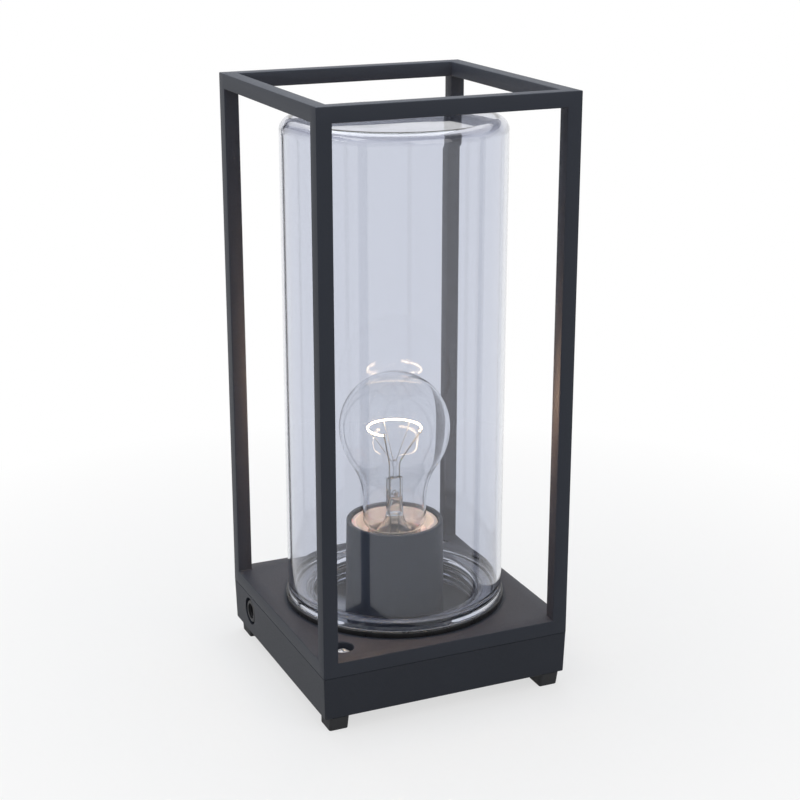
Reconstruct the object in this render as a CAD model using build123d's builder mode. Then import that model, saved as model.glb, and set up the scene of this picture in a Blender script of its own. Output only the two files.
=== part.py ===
from build123d import *
import os
from math import cos, radians, sin, tan

# A square cage lantern that stands on a table outdoors. Four square posts and four top rails
# rise from a thick deck. A clear glass jar screws into a threaded collar in the deck and
# covers a clear bulb in a screw holder. The tray under the deck holds the wiring.
# Lengths are millimetres. The feet stand on z = 0, Z is the centre line and -Y is the front.

os.makedirs("parts", exist_ok=True)

# Cage of square bars
lamp_width = 140.0
bar = 8.0
post_length = 282.0
edge_round = 0.5

# Deck under the cage
deck_thickness = 8.0

# Tray under the deck
tray_wall = 3.5
tray_floor = 2.5
tray_draft = 0.6
tray_corner_round = 0.8
tray_edge_round = 0.5
seal_width = 1.5
seal_depth = 1.2

# Feet
foot_height = 8.0
foot_width = 10.5
foot_length = 12.2
foot_side_inset = 2.9
foot_end_slope = 2.0
foot_round = 1.2
spigot_radius = 2.4
spigot_height = 4.0
spigot_wall = 2.8

# Fits between pieces, and how far a cutting tool overruns
fit_gap = 0.1
loose_gap = 0.3
thread_gap = 0.4
overrun = 1.0

# Angles and counts that shapes are drawn with
full_turn = 360.0
half_turn = 180.0
hexagon_sides = 6

# Glass jar
jar_gap = 3.0
jar_wall = 2.2
jar_crown = 2.4
jar_drop = 17.6
jar_crown_round = 6.5
jar_foot_thickness = 3.0
jar_foot_round = 4.0
jar_inner_foot_share = 0.72
jar_throat_share = 0.25
neck_step = 11.0
neck_wall = 3.0
neck_length = 13.0
neck_end_gap = 1.0
neck_end_round = 0.8

# Rubber gasket under the jar
gasket_thickness = 3.0
gasket_lip = 1.0
gasket_round = 0.6

# Threaded collar
collar_wall = 3.0
collar_floor = 3.0
collar_flange = 6.0
collar_flange_thickness = 3.0
wire_hole_radius = 11.5

# Machine screws: radius of the shank, and the head as shares of it
large_screw_radius = 2.0
small_screw_radius = 1.5
head_radius_share = 1.9
head_height_share = 1.25
head_dome_share = 0.45
cross_length_share = 2.0
cross_width_share = 0.42
cross_depth_share = 0.7
collar_screw_grip = 6.0
collar_screw_count = 4
collar_screw_angle = 45.0
post_screw_grip = 12.0
sunk_head_share = 1.8
sunk_head_angle = 90.0
holder_screw_grip = 9.0
holder_screw_spread = 15.0
deck_screw_inset = 17.0
deck_screw_grip = 14.0
recess_radius = 6.0
recess_depth = 4.0
boss_wall = 3.0

# Lamp holder: dark sleeve, porcelain body, threaded metal shell and contacts
sleeve_wall = 2.2
sleeve_floor = 2.5
sleeve_rise = 1.7
sleeve_round = 0.8
holder_radius = 23.9
holder_flare = 1.0
holder_height = 51.3
holder_base_thickness = 15.0
holder_rim_wall = 2.5
mouth_depth = 5.3
mouth_foot_step = 3.4
shell_wall = 0.5
shell_height = 25.5
shell_lip = 4.5
contact_thickness = 0.5
contact_rise = 3.3
contact_width = 5.0
contact_length = 9.0
contact_foot_share = 0.45
tip_gap = 0.2
terminal_size = 5.4
terminal_height = 8.0
terminal_spread = 6.5
terminal_bore_depth = 4.0

# Clear bulb
bulb_diameter = 60.0
bulb_length = 117.0
bulb_wall = 0.7
bulb_neck_radius = 17.3
bulb_neck_rise = 9.0
bulb_neck_length = 11.0
cap_radius = 13.2
cap_wall = 0.4
cap_height = 25.5
cap_insulator_height = 3.0
cap_insulator_share = 0.66
cap_chin = 3.0
cap_overlap = 5.5
tip_radius = 4.6
tip_height = 1.5
stem_rim_gap = 0.3
stem_wall = 0.9
stem_tube_radius = 4.8
stem_flare_share = 0.273
stem_press_width = 9.6
stem_press_thickness = 4.2
stem_press_share = 0.303
stem_eye_radius = 1.2
stem_eye_share = 0.55
arbor_radius = 1.1
arbor_share = 0.121
button_radius = 1.9
filament_ring_radius = 14.5
filament_sweep = 270.0
filament_gap_angle = -90.0
filament_radius = 0.5
filament_drop = 1.0
lead_radius = 0.45
lead_spread = 3.0
lead_rise_share = 0.3
lead_bend = 3.0
support_radius = 0.28
support_angles = (30.0, 90.0, 150.0)

# Cable gland in a round pocket low on the left side, near the back
gland_from_back = 25.5
gland_below_parting = 9.5
pocket_radius = 7.8
pocket_wall = 1.4
pocket_depth = 9.0
pocket_back = 2.5
gland_thread_radius = 6.0
gland_thread_length = 10.0
gland_flats = 13.0
gland_flange = 3.0
gland_cap_radius = 6.6
gland_cap_round = 1.2
gland_cap_wall = 1.1
gland_cap_front = 1.2
gland_bore_radius = 4.4
cord_bore_radius = 3.5
gland_nut_flats = 14.0
gland_nut_thickness = 3.5

# Terminal block, its wires and the earth point
block_length = 32.0
block_width = 17.0
block_height = 11.5
block_gap = 3.0
block_from_centre = 22.0
block_from_back = 26.0
block_round = 1.0
pole_pitch = 10.0
pole_screw_share = 0.32
pole_well_share = 0.42
block_screw_radius = 1.2
block_screw_sink = 4.0
block_screw_floor_share = 0.7
wire_radius = 1.0
wire_height_share = 0.43
wire_bore_depth = 4.0
wire_bend = 6.0
wire_run = 9.0
earth_x = -44.0
earth_y = 12.0
earth_boss_height = 3.0
lug_lip = 0.4
lug_thickness = 1.0
barrel_length = 6.0
barrel_wall = 0.6

# Heights worked out from the stack of pieces
half_width = lamp_width / 2
inner_width = lamp_width - 2 * bar
post_centre = half_width - bar / 2
well_depth = neck_length - gasket_thickness + neck_end_gap
bay_height = block_height + block_gap
tray_height = tray_floor + bay_height + collar_floor + well_depth - deck_thickness
tray_base = foot_height
bay_floor = tray_base + tray_floor
parting = tray_base + tray_height
deck_top = parting + deck_thickness
cage_top = deck_top + post_length
well_floor = deck_top - well_depth
collar_base = well_floor - collar_floor
jar_seat = deck_top + gasket_thickness
jar_summit = cage_top - jar_drop
neck_end = jar_seat - neck_length
holder_base = well_floor + sleeve_floor
holder_top = holder_base + holder_height
sleeve_top = holder_top + sleeve_rise
shell_base = holder_base + holder_base_thickness
contact_top = shell_base + contact_thickness + contact_rise
tip_base = contact_top + tip_gap
cap_top = tip_base + cap_height
bulb_top = tip_base + bulb_length
bulb_centre = bulb_top - bulb_diameter / 2

# Radii and places worked out from the pieces that they fit
jar_radius = half_width - bar - jar_gap
neck_radius = jar_radius - neck_step
neck_bore = neck_radius - neck_wall
collar_bore = neck_radius + thread_gap
collar_radius = collar_bore + collar_wall
flange_radius = collar_radius + collar_flange
deck_bore = collar_radius + fit_gap
gasket_bore = neck_radius + neck_end_round + thread_gap
gasket_radius = jar_radius + gasket_lip
collar_screw_circle = collar_radius + collar_flange / 2
shell_bore = cap_radius + thread_gap
shell_radius = shell_bore + shell_wall
holder_bore = shell_radius + fit_gap
cap_bore = cap_radius - cap_wall
crimp_radius = cap_bore - fit_gap
cavity_half = half_width - tray_wall
tray_base_half = half_width - tray_draft
foot_x = tray_base_half - foot_side_inset - foot_width / 2
foot_y = tray_base_half - foot_end_slope - foot_length / 2
foot_top_y = tray_base_half - (foot_end_slope + foot_length) / 2
deck_screw_place = half_width - deck_screw_inset
gland_y = half_width - gland_from_back
gland_z = parting - gland_below_parting
block_y = half_width - block_from_back
wire_z = bay_floor + block_height * wire_height_share
filament_z = bulb_centre - filament_drop
corners = {"front_left": (-1, -1), "front_right": (1, -1), "back_left": (-1, 1), "back_right": (1, 1)}


def pan_screw(shank_radius, grip, crossed=False):
    """Pan head screw along Z: its head rests on z = 0 and its shank reaches down by grip."""
    head_radius = shank_radius * head_radius_share
    head_height = shank_radius * head_height_share
    dome_foot = head_height * head_dome_share
    with BuildPart() as made:
        with BuildSketch(Plane.XZ):
            with BuildLine():
                Polyline(
                    (0, head_height),
                    (0, -grip),
                    (shank_radius, -grip),
                    (shank_radius, 0),
                    (head_radius, 0),
                    (head_radius, dome_foot),
                )
                TangentArc((0, head_height), (head_radius, dome_foot), tangent=(1, 0))
            make_face()
        revolve(axis=Axis.Z)
        if crossed:
            with BuildSketch(Plane.XY.offset(head_height)):
                Rectangle(shank_radius * cross_length_share, shank_radius * cross_width_share)
                Rectangle(shank_radius * cross_width_share, shank_radius * cross_length_share)
            extrude(amount=-shank_radius * cross_depth_share, mode=Mode.SUBTRACT)
    return made.part


def sunk_screw(shank_radius, grip):
    """Countersunk screw along Z: its flat head lies on z = 0 and its shank reaches down by grip."""
    head_radius = shank_radius * sunk_head_share
    head_depth = (head_radius - shank_radius) / tan(radians(sunk_head_angle / 2))
    with BuildPart() as made:
        with BuildSketch(Plane.XZ):
            with BuildLine():
                Polyline(
                    (0, 0),
                    (head_radius, 0),
                    (shank_radius, -head_depth),
                    (shank_radius, -grip),
                    (0, -grip),
                    close=True,
                )
            make_face()
        revolve(axis=Axis.Z)
    return made.part


def group_at(pattern, places):
    """One part of separate like solids, each set at its own place and direction."""
    with BuildPart() as group:
        with Locations(*places):
            add(pattern)
    return group.part


def from_below(x, y, z):
    """A place where a tool or screw points up from below."""
    return Location((x, y, z), (half_turn, 0, 0))


# Posts: square bars, drilled from below for the screws that hold them on the deck
for corner, (side_x, side_y) in corners.items():
    post_x = side_x * post_centre
    post_y = side_y * post_centre
    with BuildPart() as post:
        with BuildSketch(Plane.XY.offset(deck_top)):
            with Locations((post_x, post_y)):
                Rectangle(bar, bar)
        extrude(amount=post_length)
        outer_corner = (side_x * half_width, side_y * half_width, cage_top)
        outer_edge = post.edges().filter_by(Axis.Z).sort_by_distance(outer_corner)[0]
        fillet(outer_edge, radius=edge_round)
        with BuildSketch(Plane.XY.offset(deck_top)):
            with Locations((post_x, post_y)):
                Circle(small_screw_radius + fit_gap)
        extrude(amount=post_screw_grip + fit_gap, mode=Mode.SUBTRACT)
    post.part.label = f"post_{corner}"
    export_step(post.part, f"parts/post_{corner}.step")

# Top rails: four square bars between the posts, flush with their outer faces
rails = {
    "front": (0, -post_centre, inner_width, bar),
    "back": (0, post_centre, inner_width, bar),
    "left": (-post_centre, 0, bar, inner_width),
    "right": (post_centre, 0, bar, inner_width),
}
for side, (rail_x, rail_y, size_x, size_y) in rails.items():
    with BuildPart() as rail:
        with BuildSketch(Plane.XY.offset(cage_top - bar)):
            with Locations((rail_x, rail_y)):
                Rectangle(size_x, size_y)
        extrude(amount=bar)
    rail.part.label = f"top_rail_{side}"
    export_step(rail.part, f"parts/top_rail_{side}.step")

# Deck: thick plate with a round opening, recesses for two screws and holes from below
post_places = [(x * post_centre, y * post_centre) for x, y in corners.values()]
deck_screw_places = [(-deck_screw_place, -deck_screw_place), (deck_screw_place, deck_screw_place)]
with BuildPart() as deck:
    with BuildSketch(Plane.XY.offset(parting)):
        RectangleRounded(lamp_width, lamp_width, edge_round)
        Circle(deck_bore, mode=Mode.SUBTRACT)
    extrude(amount=deck_thickness)
    with Locations(*[(x, y, deck_top) for x, y in deck_screw_places]):
        CounterBoreHole(large_screw_radius + fit_gap, recess_radius, recess_depth, depth=deck_thickness)
    with Locations(*[from_below(x, y, parting) for x, y in post_places]):
        CounterSinkHole(
            small_screw_radius + fit_gap,
            small_screw_radius * sunk_head_share + fit_gap,
            depth=deck_thickness,
            counter_sink_angle=sunk_head_angle,
        )
    with BuildSketch(Plane.XY.offset(parting)):
        with PolarLocations(collar_screw_circle, collar_screw_count, start_angle=collar_screw_angle):
            Circle(small_screw_radius + fit_gap)
    extrude(amount=collar_screw_grip + fit_gap, mode=Mode.SUBTRACT)
deck.part.label = "deck"
export_step(deck.part, "parts/deck.step")

# Countersunk screws that hold the posts from below the deck
post_screws = group_at(
    sunk_screw(small_screw_radius, deck_thickness + post_screw_grip),
    [from_below(x, y, parting) for x, y in post_places],
)
post_screws.label = "post_screws"
export_step(post_screws, "parts/post_screws.step")

# Threaded collar: a round well in the deck that the jar's neck screws into
holder_screw_places = [(0, -holder_screw_spread), (0, holder_screw_spread)]
with BuildPart() as collar:
    with BuildSketch(Plane.XZ):
        with BuildLine():
            Polyline(
                (0, collar_base),
                (collar_radius, collar_base),
                (collar_radius, parting - collar_flange_thickness),
                (flange_radius, parting - collar_flange_thickness),
                (flange_radius, parting),
                (collar_radius, parting),
                (collar_radius, deck_top),
                (collar_bore, deck_top),
                (collar_bore, well_floor),
                (0, well_floor),
                close=True,
            )
        make_face()
    revolve(axis=Axis.Z)
    with BuildSketch(Plane.XY.offset(collar_base)):
        Circle(wire_hole_radius)
        with Locations(*holder_screw_places):
            Circle(large_screw_radius + fit_gap)
        with PolarLocations(collar_screw_circle, collar_screw_count, start_angle=collar_screw_angle):
            Circle(small_screw_radius + fit_gap)
    extrude(amount=deck_thickness + well_depth, mode=Mode.SUBTRACT)
collar.part.label = "collar"
export_step(collar.part, "parts/collar.step")

# Screws that hold the collar's flange up against the deck
collar_screw_places = []
for index in range(collar_screw_count):
    turn = radians(collar_screw_angle + full_turn / collar_screw_count * index)
    screw_x = collar_screw_circle * cos(turn)
    screw_y = collar_screw_circle * sin(turn)
    collar_screw_places.append(from_below(screw_x, screw_y, parting - collar_flange_thickness))
collar_screws = group_at(
    pan_screw(small_screw_radius, collar_flange_thickness + collar_screw_grip),
    collar_screw_places,
)
collar_screws.label = "collar_screws"
export_step(collar_screws, "parts/collar_screws.step")

# Gasket: flat rubber ring on the deck, under the jar's foot
with BuildPart() as gasket:
    with BuildSketch(Plane.XY.offset(deck_top)):
        Circle(gasket_radius)
        Circle(gasket_bore, mode=Mode.SUBTRACT)
    extrude(amount=gasket_thickness)
    fillet(gasket.edges().filter_by(GeomType.CIRCLE).group_by(SortBy.RADIUS)[-1], radius=gasket_round)
gasket.part.label = "jar_gasket"
export_step(gasket.part, "parts/jar_gasket.step")

# Jar: closed crown, thin wall, thick foot and a narrower neck that reaches into the collar
jar_foot_flat = neck_step + neck_wall - jar_wall
jar_inner_crown_round = jar_crown_round - jar_wall
with BuildPart() as jar:
    with BuildSketch(Plane.XZ):
        with BuildLine():
            FilletPolyline(
                (0, jar_summit),
                (jar_radius, jar_summit),
                (jar_radius, jar_seat),
                (neck_radius, jar_seat),
                (neck_radius, neck_end),
                (neck_bore, neck_end),
                (neck_bore, jar_seat + jar_foot_thickness),
                (jar_radius - jar_wall, jar_seat + jar_foot_thickness),
                (jar_radius - jar_wall, jar_summit - jar_crown),
                (0, jar_summit - jar_crown),
                radius=[
                    jar_crown_round,
                    jar_foot_round,
                    neck_end_round,
                    neck_end_round,
                    neck_end_round,
                    jar_foot_flat * jar_throat_share,
                    jar_foot_flat * jar_inner_foot_share,
                    jar_inner_crown_round,
                ],
            )
            Line((0, jar_summit - jar_crown), (0, jar_summit))
        make_face()
    revolve(axis=Axis.Z)
jar.part.label = "jar"
export_step(jar.part, "parts/jar.step")

# Sleeve: dark tapered tube with a floor, around the porcelain holder
sleeve_bore_top = holder_radius + loose_gap
sleeve_bore_foot = sleeve_bore_top + holder_flare
with BuildPart() as sleeve:
    with BuildSketch(Plane.XZ):
        with BuildLine():
            FilletPolyline(
                (0, well_floor),
                (sleeve_bore_foot + sleeve_wall, well_floor),
                (sleeve_bore_top + sleeve_wall, sleeve_top),
                (sleeve_bore_top, sleeve_top),
                (sleeve_bore_foot, holder_base),
                (0, holder_base),
                radius=[sleeve_round, sleeve_round, sleeve_round, sleeve_round],
            )
            Line((0, holder_base), (0, well_floor))
        make_face()
    revolve(axis=Axis.Z)
    with BuildSketch(Plane.XY.offset(well_floor)):
        Circle(wire_hole_radius)
        with Locations(*holder_screw_places):
            Circle(large_screw_radius + fit_gap)
    extrude(amount=sleeve_floor, mode=Mode.SUBTRACT)
sleeve.part.label = "holder_sleeve"
export_step(sleeve.part, "parts/holder_sleeve.step")

# Holder body: porcelain, open above with a flared mouth, bored for the threaded shell
mouth_foot = holder_top - mouth_depth
terminal_places = [(-terminal_spread, 0), (terminal_spread, 0)]
with BuildPart() as holder:
    with BuildSketch(Plane.XZ):
        with BuildLine():
            FilletPolyline(
                (0, holder_base),
                (holder_radius + holder_flare - sleeve_round, holder_base),
                (holder_radius, holder_top),
                (holder_radius - holder_rim_wall, holder_top),
                (holder_bore + mouth_foot_step, mouth_foot),
                (holder_bore, mouth_foot),
                (holder_bore, shell_base),
                (0, shell_base),
                radius=[sleeve_round, sleeve_round, sleeve_round, sleeve_round, sleeve_round, fit_gap],
            )
            Line((0, shell_base), (0, holder_base))
        make_face()
    revolve(axis=Axis.Z)
    with BuildSketch(Plane.XY.offset(holder_base)):
        with Locations(*terminal_places):
            Rectangle(terminal_size + 2 * fit_gap, terminal_size + 2 * fit_gap)
    extrude(amount=terminal_height + fit_gap, mode=Mode.SUBTRACT)
    with BuildSketch(Plane.XY.offset(holder_base)):
        with Locations(*holder_screw_places):
            Circle(large_screw_radius + fit_gap)
    extrude(amount=holder_screw_grip + fit_gap, mode=Mode.SUBTRACT)
holder.part.label = "holder_body"
export_step(holder.part, "parts/holder_body.step")

# Threaded shell: thin metal tube with an inward lip on the porcelain floor
with BuildPart() as shell:
    with BuildSketch(Plane.XZ):
        with BuildLine():
            Polyline(
                (shell_radius - shell_lip, shell_base),
                (shell_radius, shell_base),
                (shell_radius, shell_base + shell_height),
                (shell_bore, shell_base + shell_height),
                (shell_bore, shell_base + shell_wall),
                (shell_radius - shell_lip, shell_base + shell_wall),
                close=True,
            )
        make_face()
    revolve(axis=Axis.Z)
shell.part.label = "screw_shell"
export_step(shell.part, "parts/screw_shell.step")

# Centre contact: bent brass leaf that springs up against the bulb's tip
contact_half = contact_length / 2
contact_knee = contact_length * contact_foot_share - contact_half
with BuildPart() as contact:
    with BuildSketch(Plane.XZ):
        with BuildLine():
            Polyline(
                (-contact_half, shell_base),
                (contact_knee, shell_base),
                (contact_knee + contact_thickness, contact_top - contact_thickness),
                (contact_half, contact_top - contact_thickness),
                (contact_half, contact_top),
                (contact_knee, contact_top),
                (contact_knee - contact_thickness, shell_base + contact_thickness),
                (-contact_half, shell_base + contact_thickness),
                close=True,
            )
        make_face()
    extrude(amount=contact_width / 2, both=True)
contact.part.label = "centre_contact"
export_step(contact.part, "parts/centre_contact.step")

# Holder terminals: two brass blocks in the porcelain's base, bored from below for the wires
with BuildPart() as terminals:
    with BuildSketch(Plane.XY.offset(holder_base)):
        with Locations(*terminal_places):
            Rectangle(terminal_size, terminal_size)
    extrude(amount=terminal_height)
    with BuildSketch(Plane.XY.offset(holder_base)):
        with Locations(*terminal_places):
            Circle(wire_radius + fit_gap)
    extrude(amount=terminal_bore_depth, mode=Mode.SUBTRACT)
terminals.part.label = "holder_terminals"
export_step(terminals.part, "parts/holder_terminals.step")

# Screws that hold sleeve and porcelain on the collar's floor, from below
holder_screws = group_at(
    pan_screw(large_screw_radius, collar_floor + sleeve_floor + holder_screw_grip),
    [from_below(x, y, collar_base) for x, y in holder_screw_places],
)
holder_screws.label = "holder_screws"
export_step(holder_screws, "parts/holder_screws.step")


def envelope_outline(inset):
    """Corners of the bulb's outline from its top to the end of its neck, drawn in by inset."""
    radius = bulb_diameter / 2 - inset
    neck = bulb_neck_radius - inset
    crimp = crimp_radius - inset
    neck_z = cap_top + bulb_neck_rise
    return [
        (0, bulb_centre + radius),
        (radius, bulb_centre),
        (neck, neck_z + bulb_neck_length),
        (neck, neck_z),
        (crimp, cap_top + inset),
    ]


# Bulb glass: round above, drawn in by two curves to a straight neck and crimped into the cap
with BuildPart() as bulb_glass:
    with BuildSketch(Plane.XZ):
        with BuildLine():
            neck_ends = []
            for inset in (0, bulb_wall):
                summit, equator, neck_head, neck_foot, crimp_point = envelope_outline(inset)
                TangentArc(summit, equator, tangent=(1, 0))
                for upper, lower in ((equator, neck_head), (neck_foot, crimp_point)):
                    middle = ((upper[0] + lower[0]) / 2, (upper[1] + lower[1]) / 2)
                    bend = TangentArc(upper, middle, tangent=(0, -1))
                    TangentArc(middle, lower, tangent=bend % 1)
                Line(neck_head, neck_foot)
                neck_ends.append((crimp_point[0], cap_top - cap_overlap))
                Line(crimp_point, neck_ends[-1])
            Line(neck_ends[0], neck_ends[1])
            Line((0, bulb_top), (0, bulb_top - bulb_wall))
        make_face()
    revolve(axis=Axis.Z)
bulb_glass.part.label = "bulb_glass"
export_step(bulb_glass.part, "parts/bulb_glass.step")

# Bulb cap: thin metal shell, drawn in below to hold the black insulator
insulator_radius = cap_radius * cap_insulator_share
insulator_top = tip_base + tip_height + cap_insulator_height
with BuildPart() as cap:
    with BuildSketch(Plane.XZ):
        with BuildLine():
            Polyline(
                (insulator_radius, insulator_top - cap_wall),
                (cap_radius, insulator_top + cap_chin),
                (cap_radius, cap_top),
                (cap_bore, cap_top),
                (cap_bore, insulator_top + cap_chin),
                (insulator_radius - cap_wall, insulator_top),
                close=True,
            )
        make_face()
    revolve(axis=Axis.Z)
cap.part.label = "bulb_cap"
export_step(cap.part, "parts/bulb_cap.step")

# Cap insulator: black glass disc between the cap and the tip
with BuildPart() as insulator:
    with BuildSketch(Plane.XZ):
        with BuildLine():
            Polyline(
                (0, tip_base + tip_height),
                (tip_radius, tip_base + tip_height),
                (insulator_radius - cap_wall - fit_gap, insulator_top - cap_wall),
                (insulator_radius - cap_wall - fit_gap, insulator_top),
                (0, insulator_top),
                close=True,
            )
        make_face()
    revolve(axis=Axis.Z)
insulator.part.label = "cap_insulator"
export_step(insulator.part, "parts/cap_insulator.step")

# Cap tip: round solder contact under the insulator
with BuildPart() as tip:
    with BuildSketch(Plane.XY.offset(tip_base)):
        Circle(tip_radius)
    extrude(amount=tip_height)
    fillet(tip.edges().group_by(Axis.Z)[0], radius=tip_height / 2)
tip.part.label = "cap_tip"
export_step(tip.part, "parts/cap_tip.step")

# Stem: glass flare sealed in the neck, flattened press with a blown eye, arbor and button
stem_foot = cap_top - cap_overlap
mount_height = filament_z - stem_foot
stem_neck = stem_foot + mount_height * stem_flare_share
press_top = stem_neck + mount_height * stem_press_share
arbor_top = press_top + mount_height * arbor_share
flare_radius = crimp_radius - bulb_wall - stem_rim_gap
with BuildPart() as stem:
    with BuildSketch(Plane.XZ):
        with BuildLine():
            limb_ends = []
            for inset in (0, stem_wall):
                foot_point = (flare_radius - inset, stem_foot)
                limb_point = (stem_tube_radius - inset, stem_neck)
                middle = ((foot_point[0] + limb_point[0]) / 2, (foot_point[1] + limb_point[1]) / 2)
                bend = TangentArc(limb_point, middle, tangent=(0, -1))
                TangentArc(middle, foot_point, tangent=bend % 1)
                limb_ends.append((foot_point, limb_point))
            Line(limb_ends[0][0], limb_ends[1][0])
            Line(limb_ends[0][1], limb_ends[1][1])
        make_face()
    revolve(axis=Axis.Z)
    with BuildSketch(Plane.XY.offset(stem_neck)):
        Circle(stem_tube_radius)
    with BuildSketch(Plane.XY.offset(press_top)):
        SlotOverall(stem_press_width, stem_press_thickness)
    loft()
    with BuildSketch(Plane.XZ.offset(stem_tube_radius)):
        with Locations((0, stem_neck + (press_top - stem_neck) * stem_eye_share)):
            Circle(stem_eye_radius)
    extrude(amount=-2 * stem_tube_radius, mode=Mode.SUBTRACT)
    with BuildSketch(Plane.XY.offset(press_top)):
        Circle(arbor_radius)
    extrude(amount=arbor_top - press_top)
    with Locations((0, 0, arbor_top)):
        Sphere(button_radius)
stem.part.label = "stem"
export_step(stem.part, "parts/stem.step")

# Filament: open ring of fine coil round the arbor, its gap to the front
filament_start = filament_gap_angle + (full_turn - filament_sweep) / 2
with BuildPart() as filament:
    with BuildLine() as ring:
        CenterArc((0, 0, filament_z), filament_ring_radius, filament_start, filament_sweep)
    with BuildSketch(Plane(origin=ring.line @ 0, z_dir=ring.line % 0)):
        Circle(filament_radius)
    sweep(path=ring.line)
filament.part.label = "filament"
export_step(filament.part, "parts/filament.step")

# Lead wires: from the press up to the two ends of the filament
ring_ends = [(ring.line @ 1), (ring.line @ 0)]
with BuildPart() as leads:
    for side, ring_end in zip((-1, 1), ring_ends):
        lead_top = filament_z - filament_radius
        knee_z = press_top + (lead_top - press_top) * lead_rise_share
        with BuildLine() as lead_path:
            FilletPolyline(
                (side * lead_spread, 0, press_top),
                (side * lead_spread, 0, knee_z),
                (ring_end.X, ring_end.Y, lead_top - lead_radius),
                radius=lead_bend,
            )
        with BuildSketch(Plane(origin=lead_path.line @ 0, z_dir=lead_path.line % 0)):
            Circle(lead_radius)
        sweep(path=lead_path.line)
leads.part.label = "lead_wires"
export_step(leads.part, "parts/lead_wires.step")

# Support wires: from the button out to the filament
with BuildPart() as supports:
    for angle in support_angles:
        outward = Vector(cos(radians(angle)), sin(radians(angle)), 0)
        reach = filament_ring_radius
        foot = Vector(0, 0, arbor_top) + outward * (button_radius + support_radius + fit_gap)
        head = Vector(0, 0, filament_z - filament_radius - support_radius) + outward * reach
        with BuildSketch(Plane(origin=foot, z_dir=head - foot)):
            Circle(support_radius)
        extrude(amount=(head - foot).length)
supports.part.label = "support_wires"
export_step(supports.part, "parts/support_wires.step")

# Tray: shallow box with a slight draft, screw bosses, foot sockets and the gland pocket
foot_places = [(x * foot_x, y * foot_y) for x, y in corners.values()]
socket_radius = spigot_radius + fit_gap
socket_boss = socket_radius + spigot_wall
screw_boss = large_screw_radius + fit_gap + boss_wall
pocket_floor_x = -half_width + pocket_depth
block_screw_places = [(side * pole_pitch / 2 - block_from_centre, block_y) for side in (-1, 1)]
block_screw_bite = tray_floor * block_screw_floor_share
with BuildPart() as tray:
    with BuildSketch(Plane.XY.offset(tray_base)):
        RectangleRounded(2 * tray_base_half, 2 * tray_base_half, tray_corner_round)
    with BuildSketch(Plane.XY.offset(parting)):
        RectangleRounded(lamp_width, lamp_width, tray_corner_round)
    loft()
    fillet(tray.faces().sort_by(Axis.Z)[0].edges(), radius=tray_edge_round)
    with BuildSketch(Plane.XY.offset(bay_floor)):
        Rectangle(2 * cavity_half, 2 * cavity_half)
    extrude(amount=tray_height, mode=Mode.SUBTRACT)
    with BuildSketch(Plane.XY.offset(bay_floor)):
        with Locations(*deck_screw_places):
            Circle(screw_boss)
    extrude(amount=parting - bay_floor)
    with BuildSketch(Plane.XY.offset(bay_floor)):
        with Locations(*foot_places):
            Circle(socket_boss)
    extrude(amount=spigot_height)
    with BuildSketch(Plane.XY.offset(bay_floor)):
        with Locations((earth_x, earth_y)):
            Circle(screw_boss)
    extrude(amount=earth_boss_height)
    with BuildSketch(Plane.YZ.offset(-cavity_half - tray_draft)):
        with Locations((gland_y, gland_z)):
            Circle(pocket_radius + pocket_wall)
    extrude(amount=pocket_floor_x + pocket_back + cavity_half + tray_draft)
    with BuildSketch(Plane.YZ.offset(-half_width - overrun)):
        with Locations((gland_y, gland_z)):
            Circle(pocket_radius)
    extrude(amount=pocket_depth + overrun, mode=Mode.SUBTRACT)
    with BuildSketch(Plane.YZ.offset(pocket_floor_x)):
        with Locations((gland_y, gland_z)):
            Circle(gland_thread_radius + fit_gap)
    extrude(amount=pocket_back + overrun, mode=Mode.SUBTRACT)
    with BuildSketch(Plane.XY.offset(parting)):
        with Locations(*deck_screw_places, (earth_x, earth_y)):
            Circle(large_screw_radius + fit_gap)
    extrude(amount=-(parting - bay_floor), mode=Mode.SUBTRACT)
    with BuildSketch(Plane.XY.offset(bay_floor)):
        with Locations(*block_screw_places):
            Circle(block_screw_radius + fit_gap)
    extrude(amount=-block_screw_bite - fit_gap, mode=Mode.SUBTRACT)
    with BuildSketch(Plane.XY.offset(tray_base)):
        with Locations(*foot_places):
            Circle(socket_radius)
    extrude(amount=spigot_height + fit_gap, mode=Mode.SUBTRACT)
    with BuildSketch(Plane.XY.offset(parting)):
        groove_outer = lamp_width - tray_wall + seal_width
        groove_inner = lamp_width - tray_wall - seal_width
        Rectangle(groove_outer, groove_outer)
        Rectangle(groove_inner, groove_inner, mode=Mode.SUBTRACT)
    extrude(amount=-seal_depth, mode=Mode.SUBTRACT)
tray.part.label = "tray"
export_step(tray.part, "parts/tray.step")

# Tray seal: square rubber ring in the groove of the tray's rim
with BuildPart() as tray_seal:
    with BuildSketch(Plane.XY.offset(parting)):
        Rectangle(groove_outer - 2 * fit_gap, groove_outer - 2 * fit_gap)
        Rectangle(groove_inner + 2 * fit_gap, groove_inner + 2 * fit_gap, mode=Mode.SUBTRACT)
    extrude(amount=-seal_depth)
tray_seal.part.label = "tray_seal"
export_step(tray_seal.part, "parts/tray_seal.step")

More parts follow.
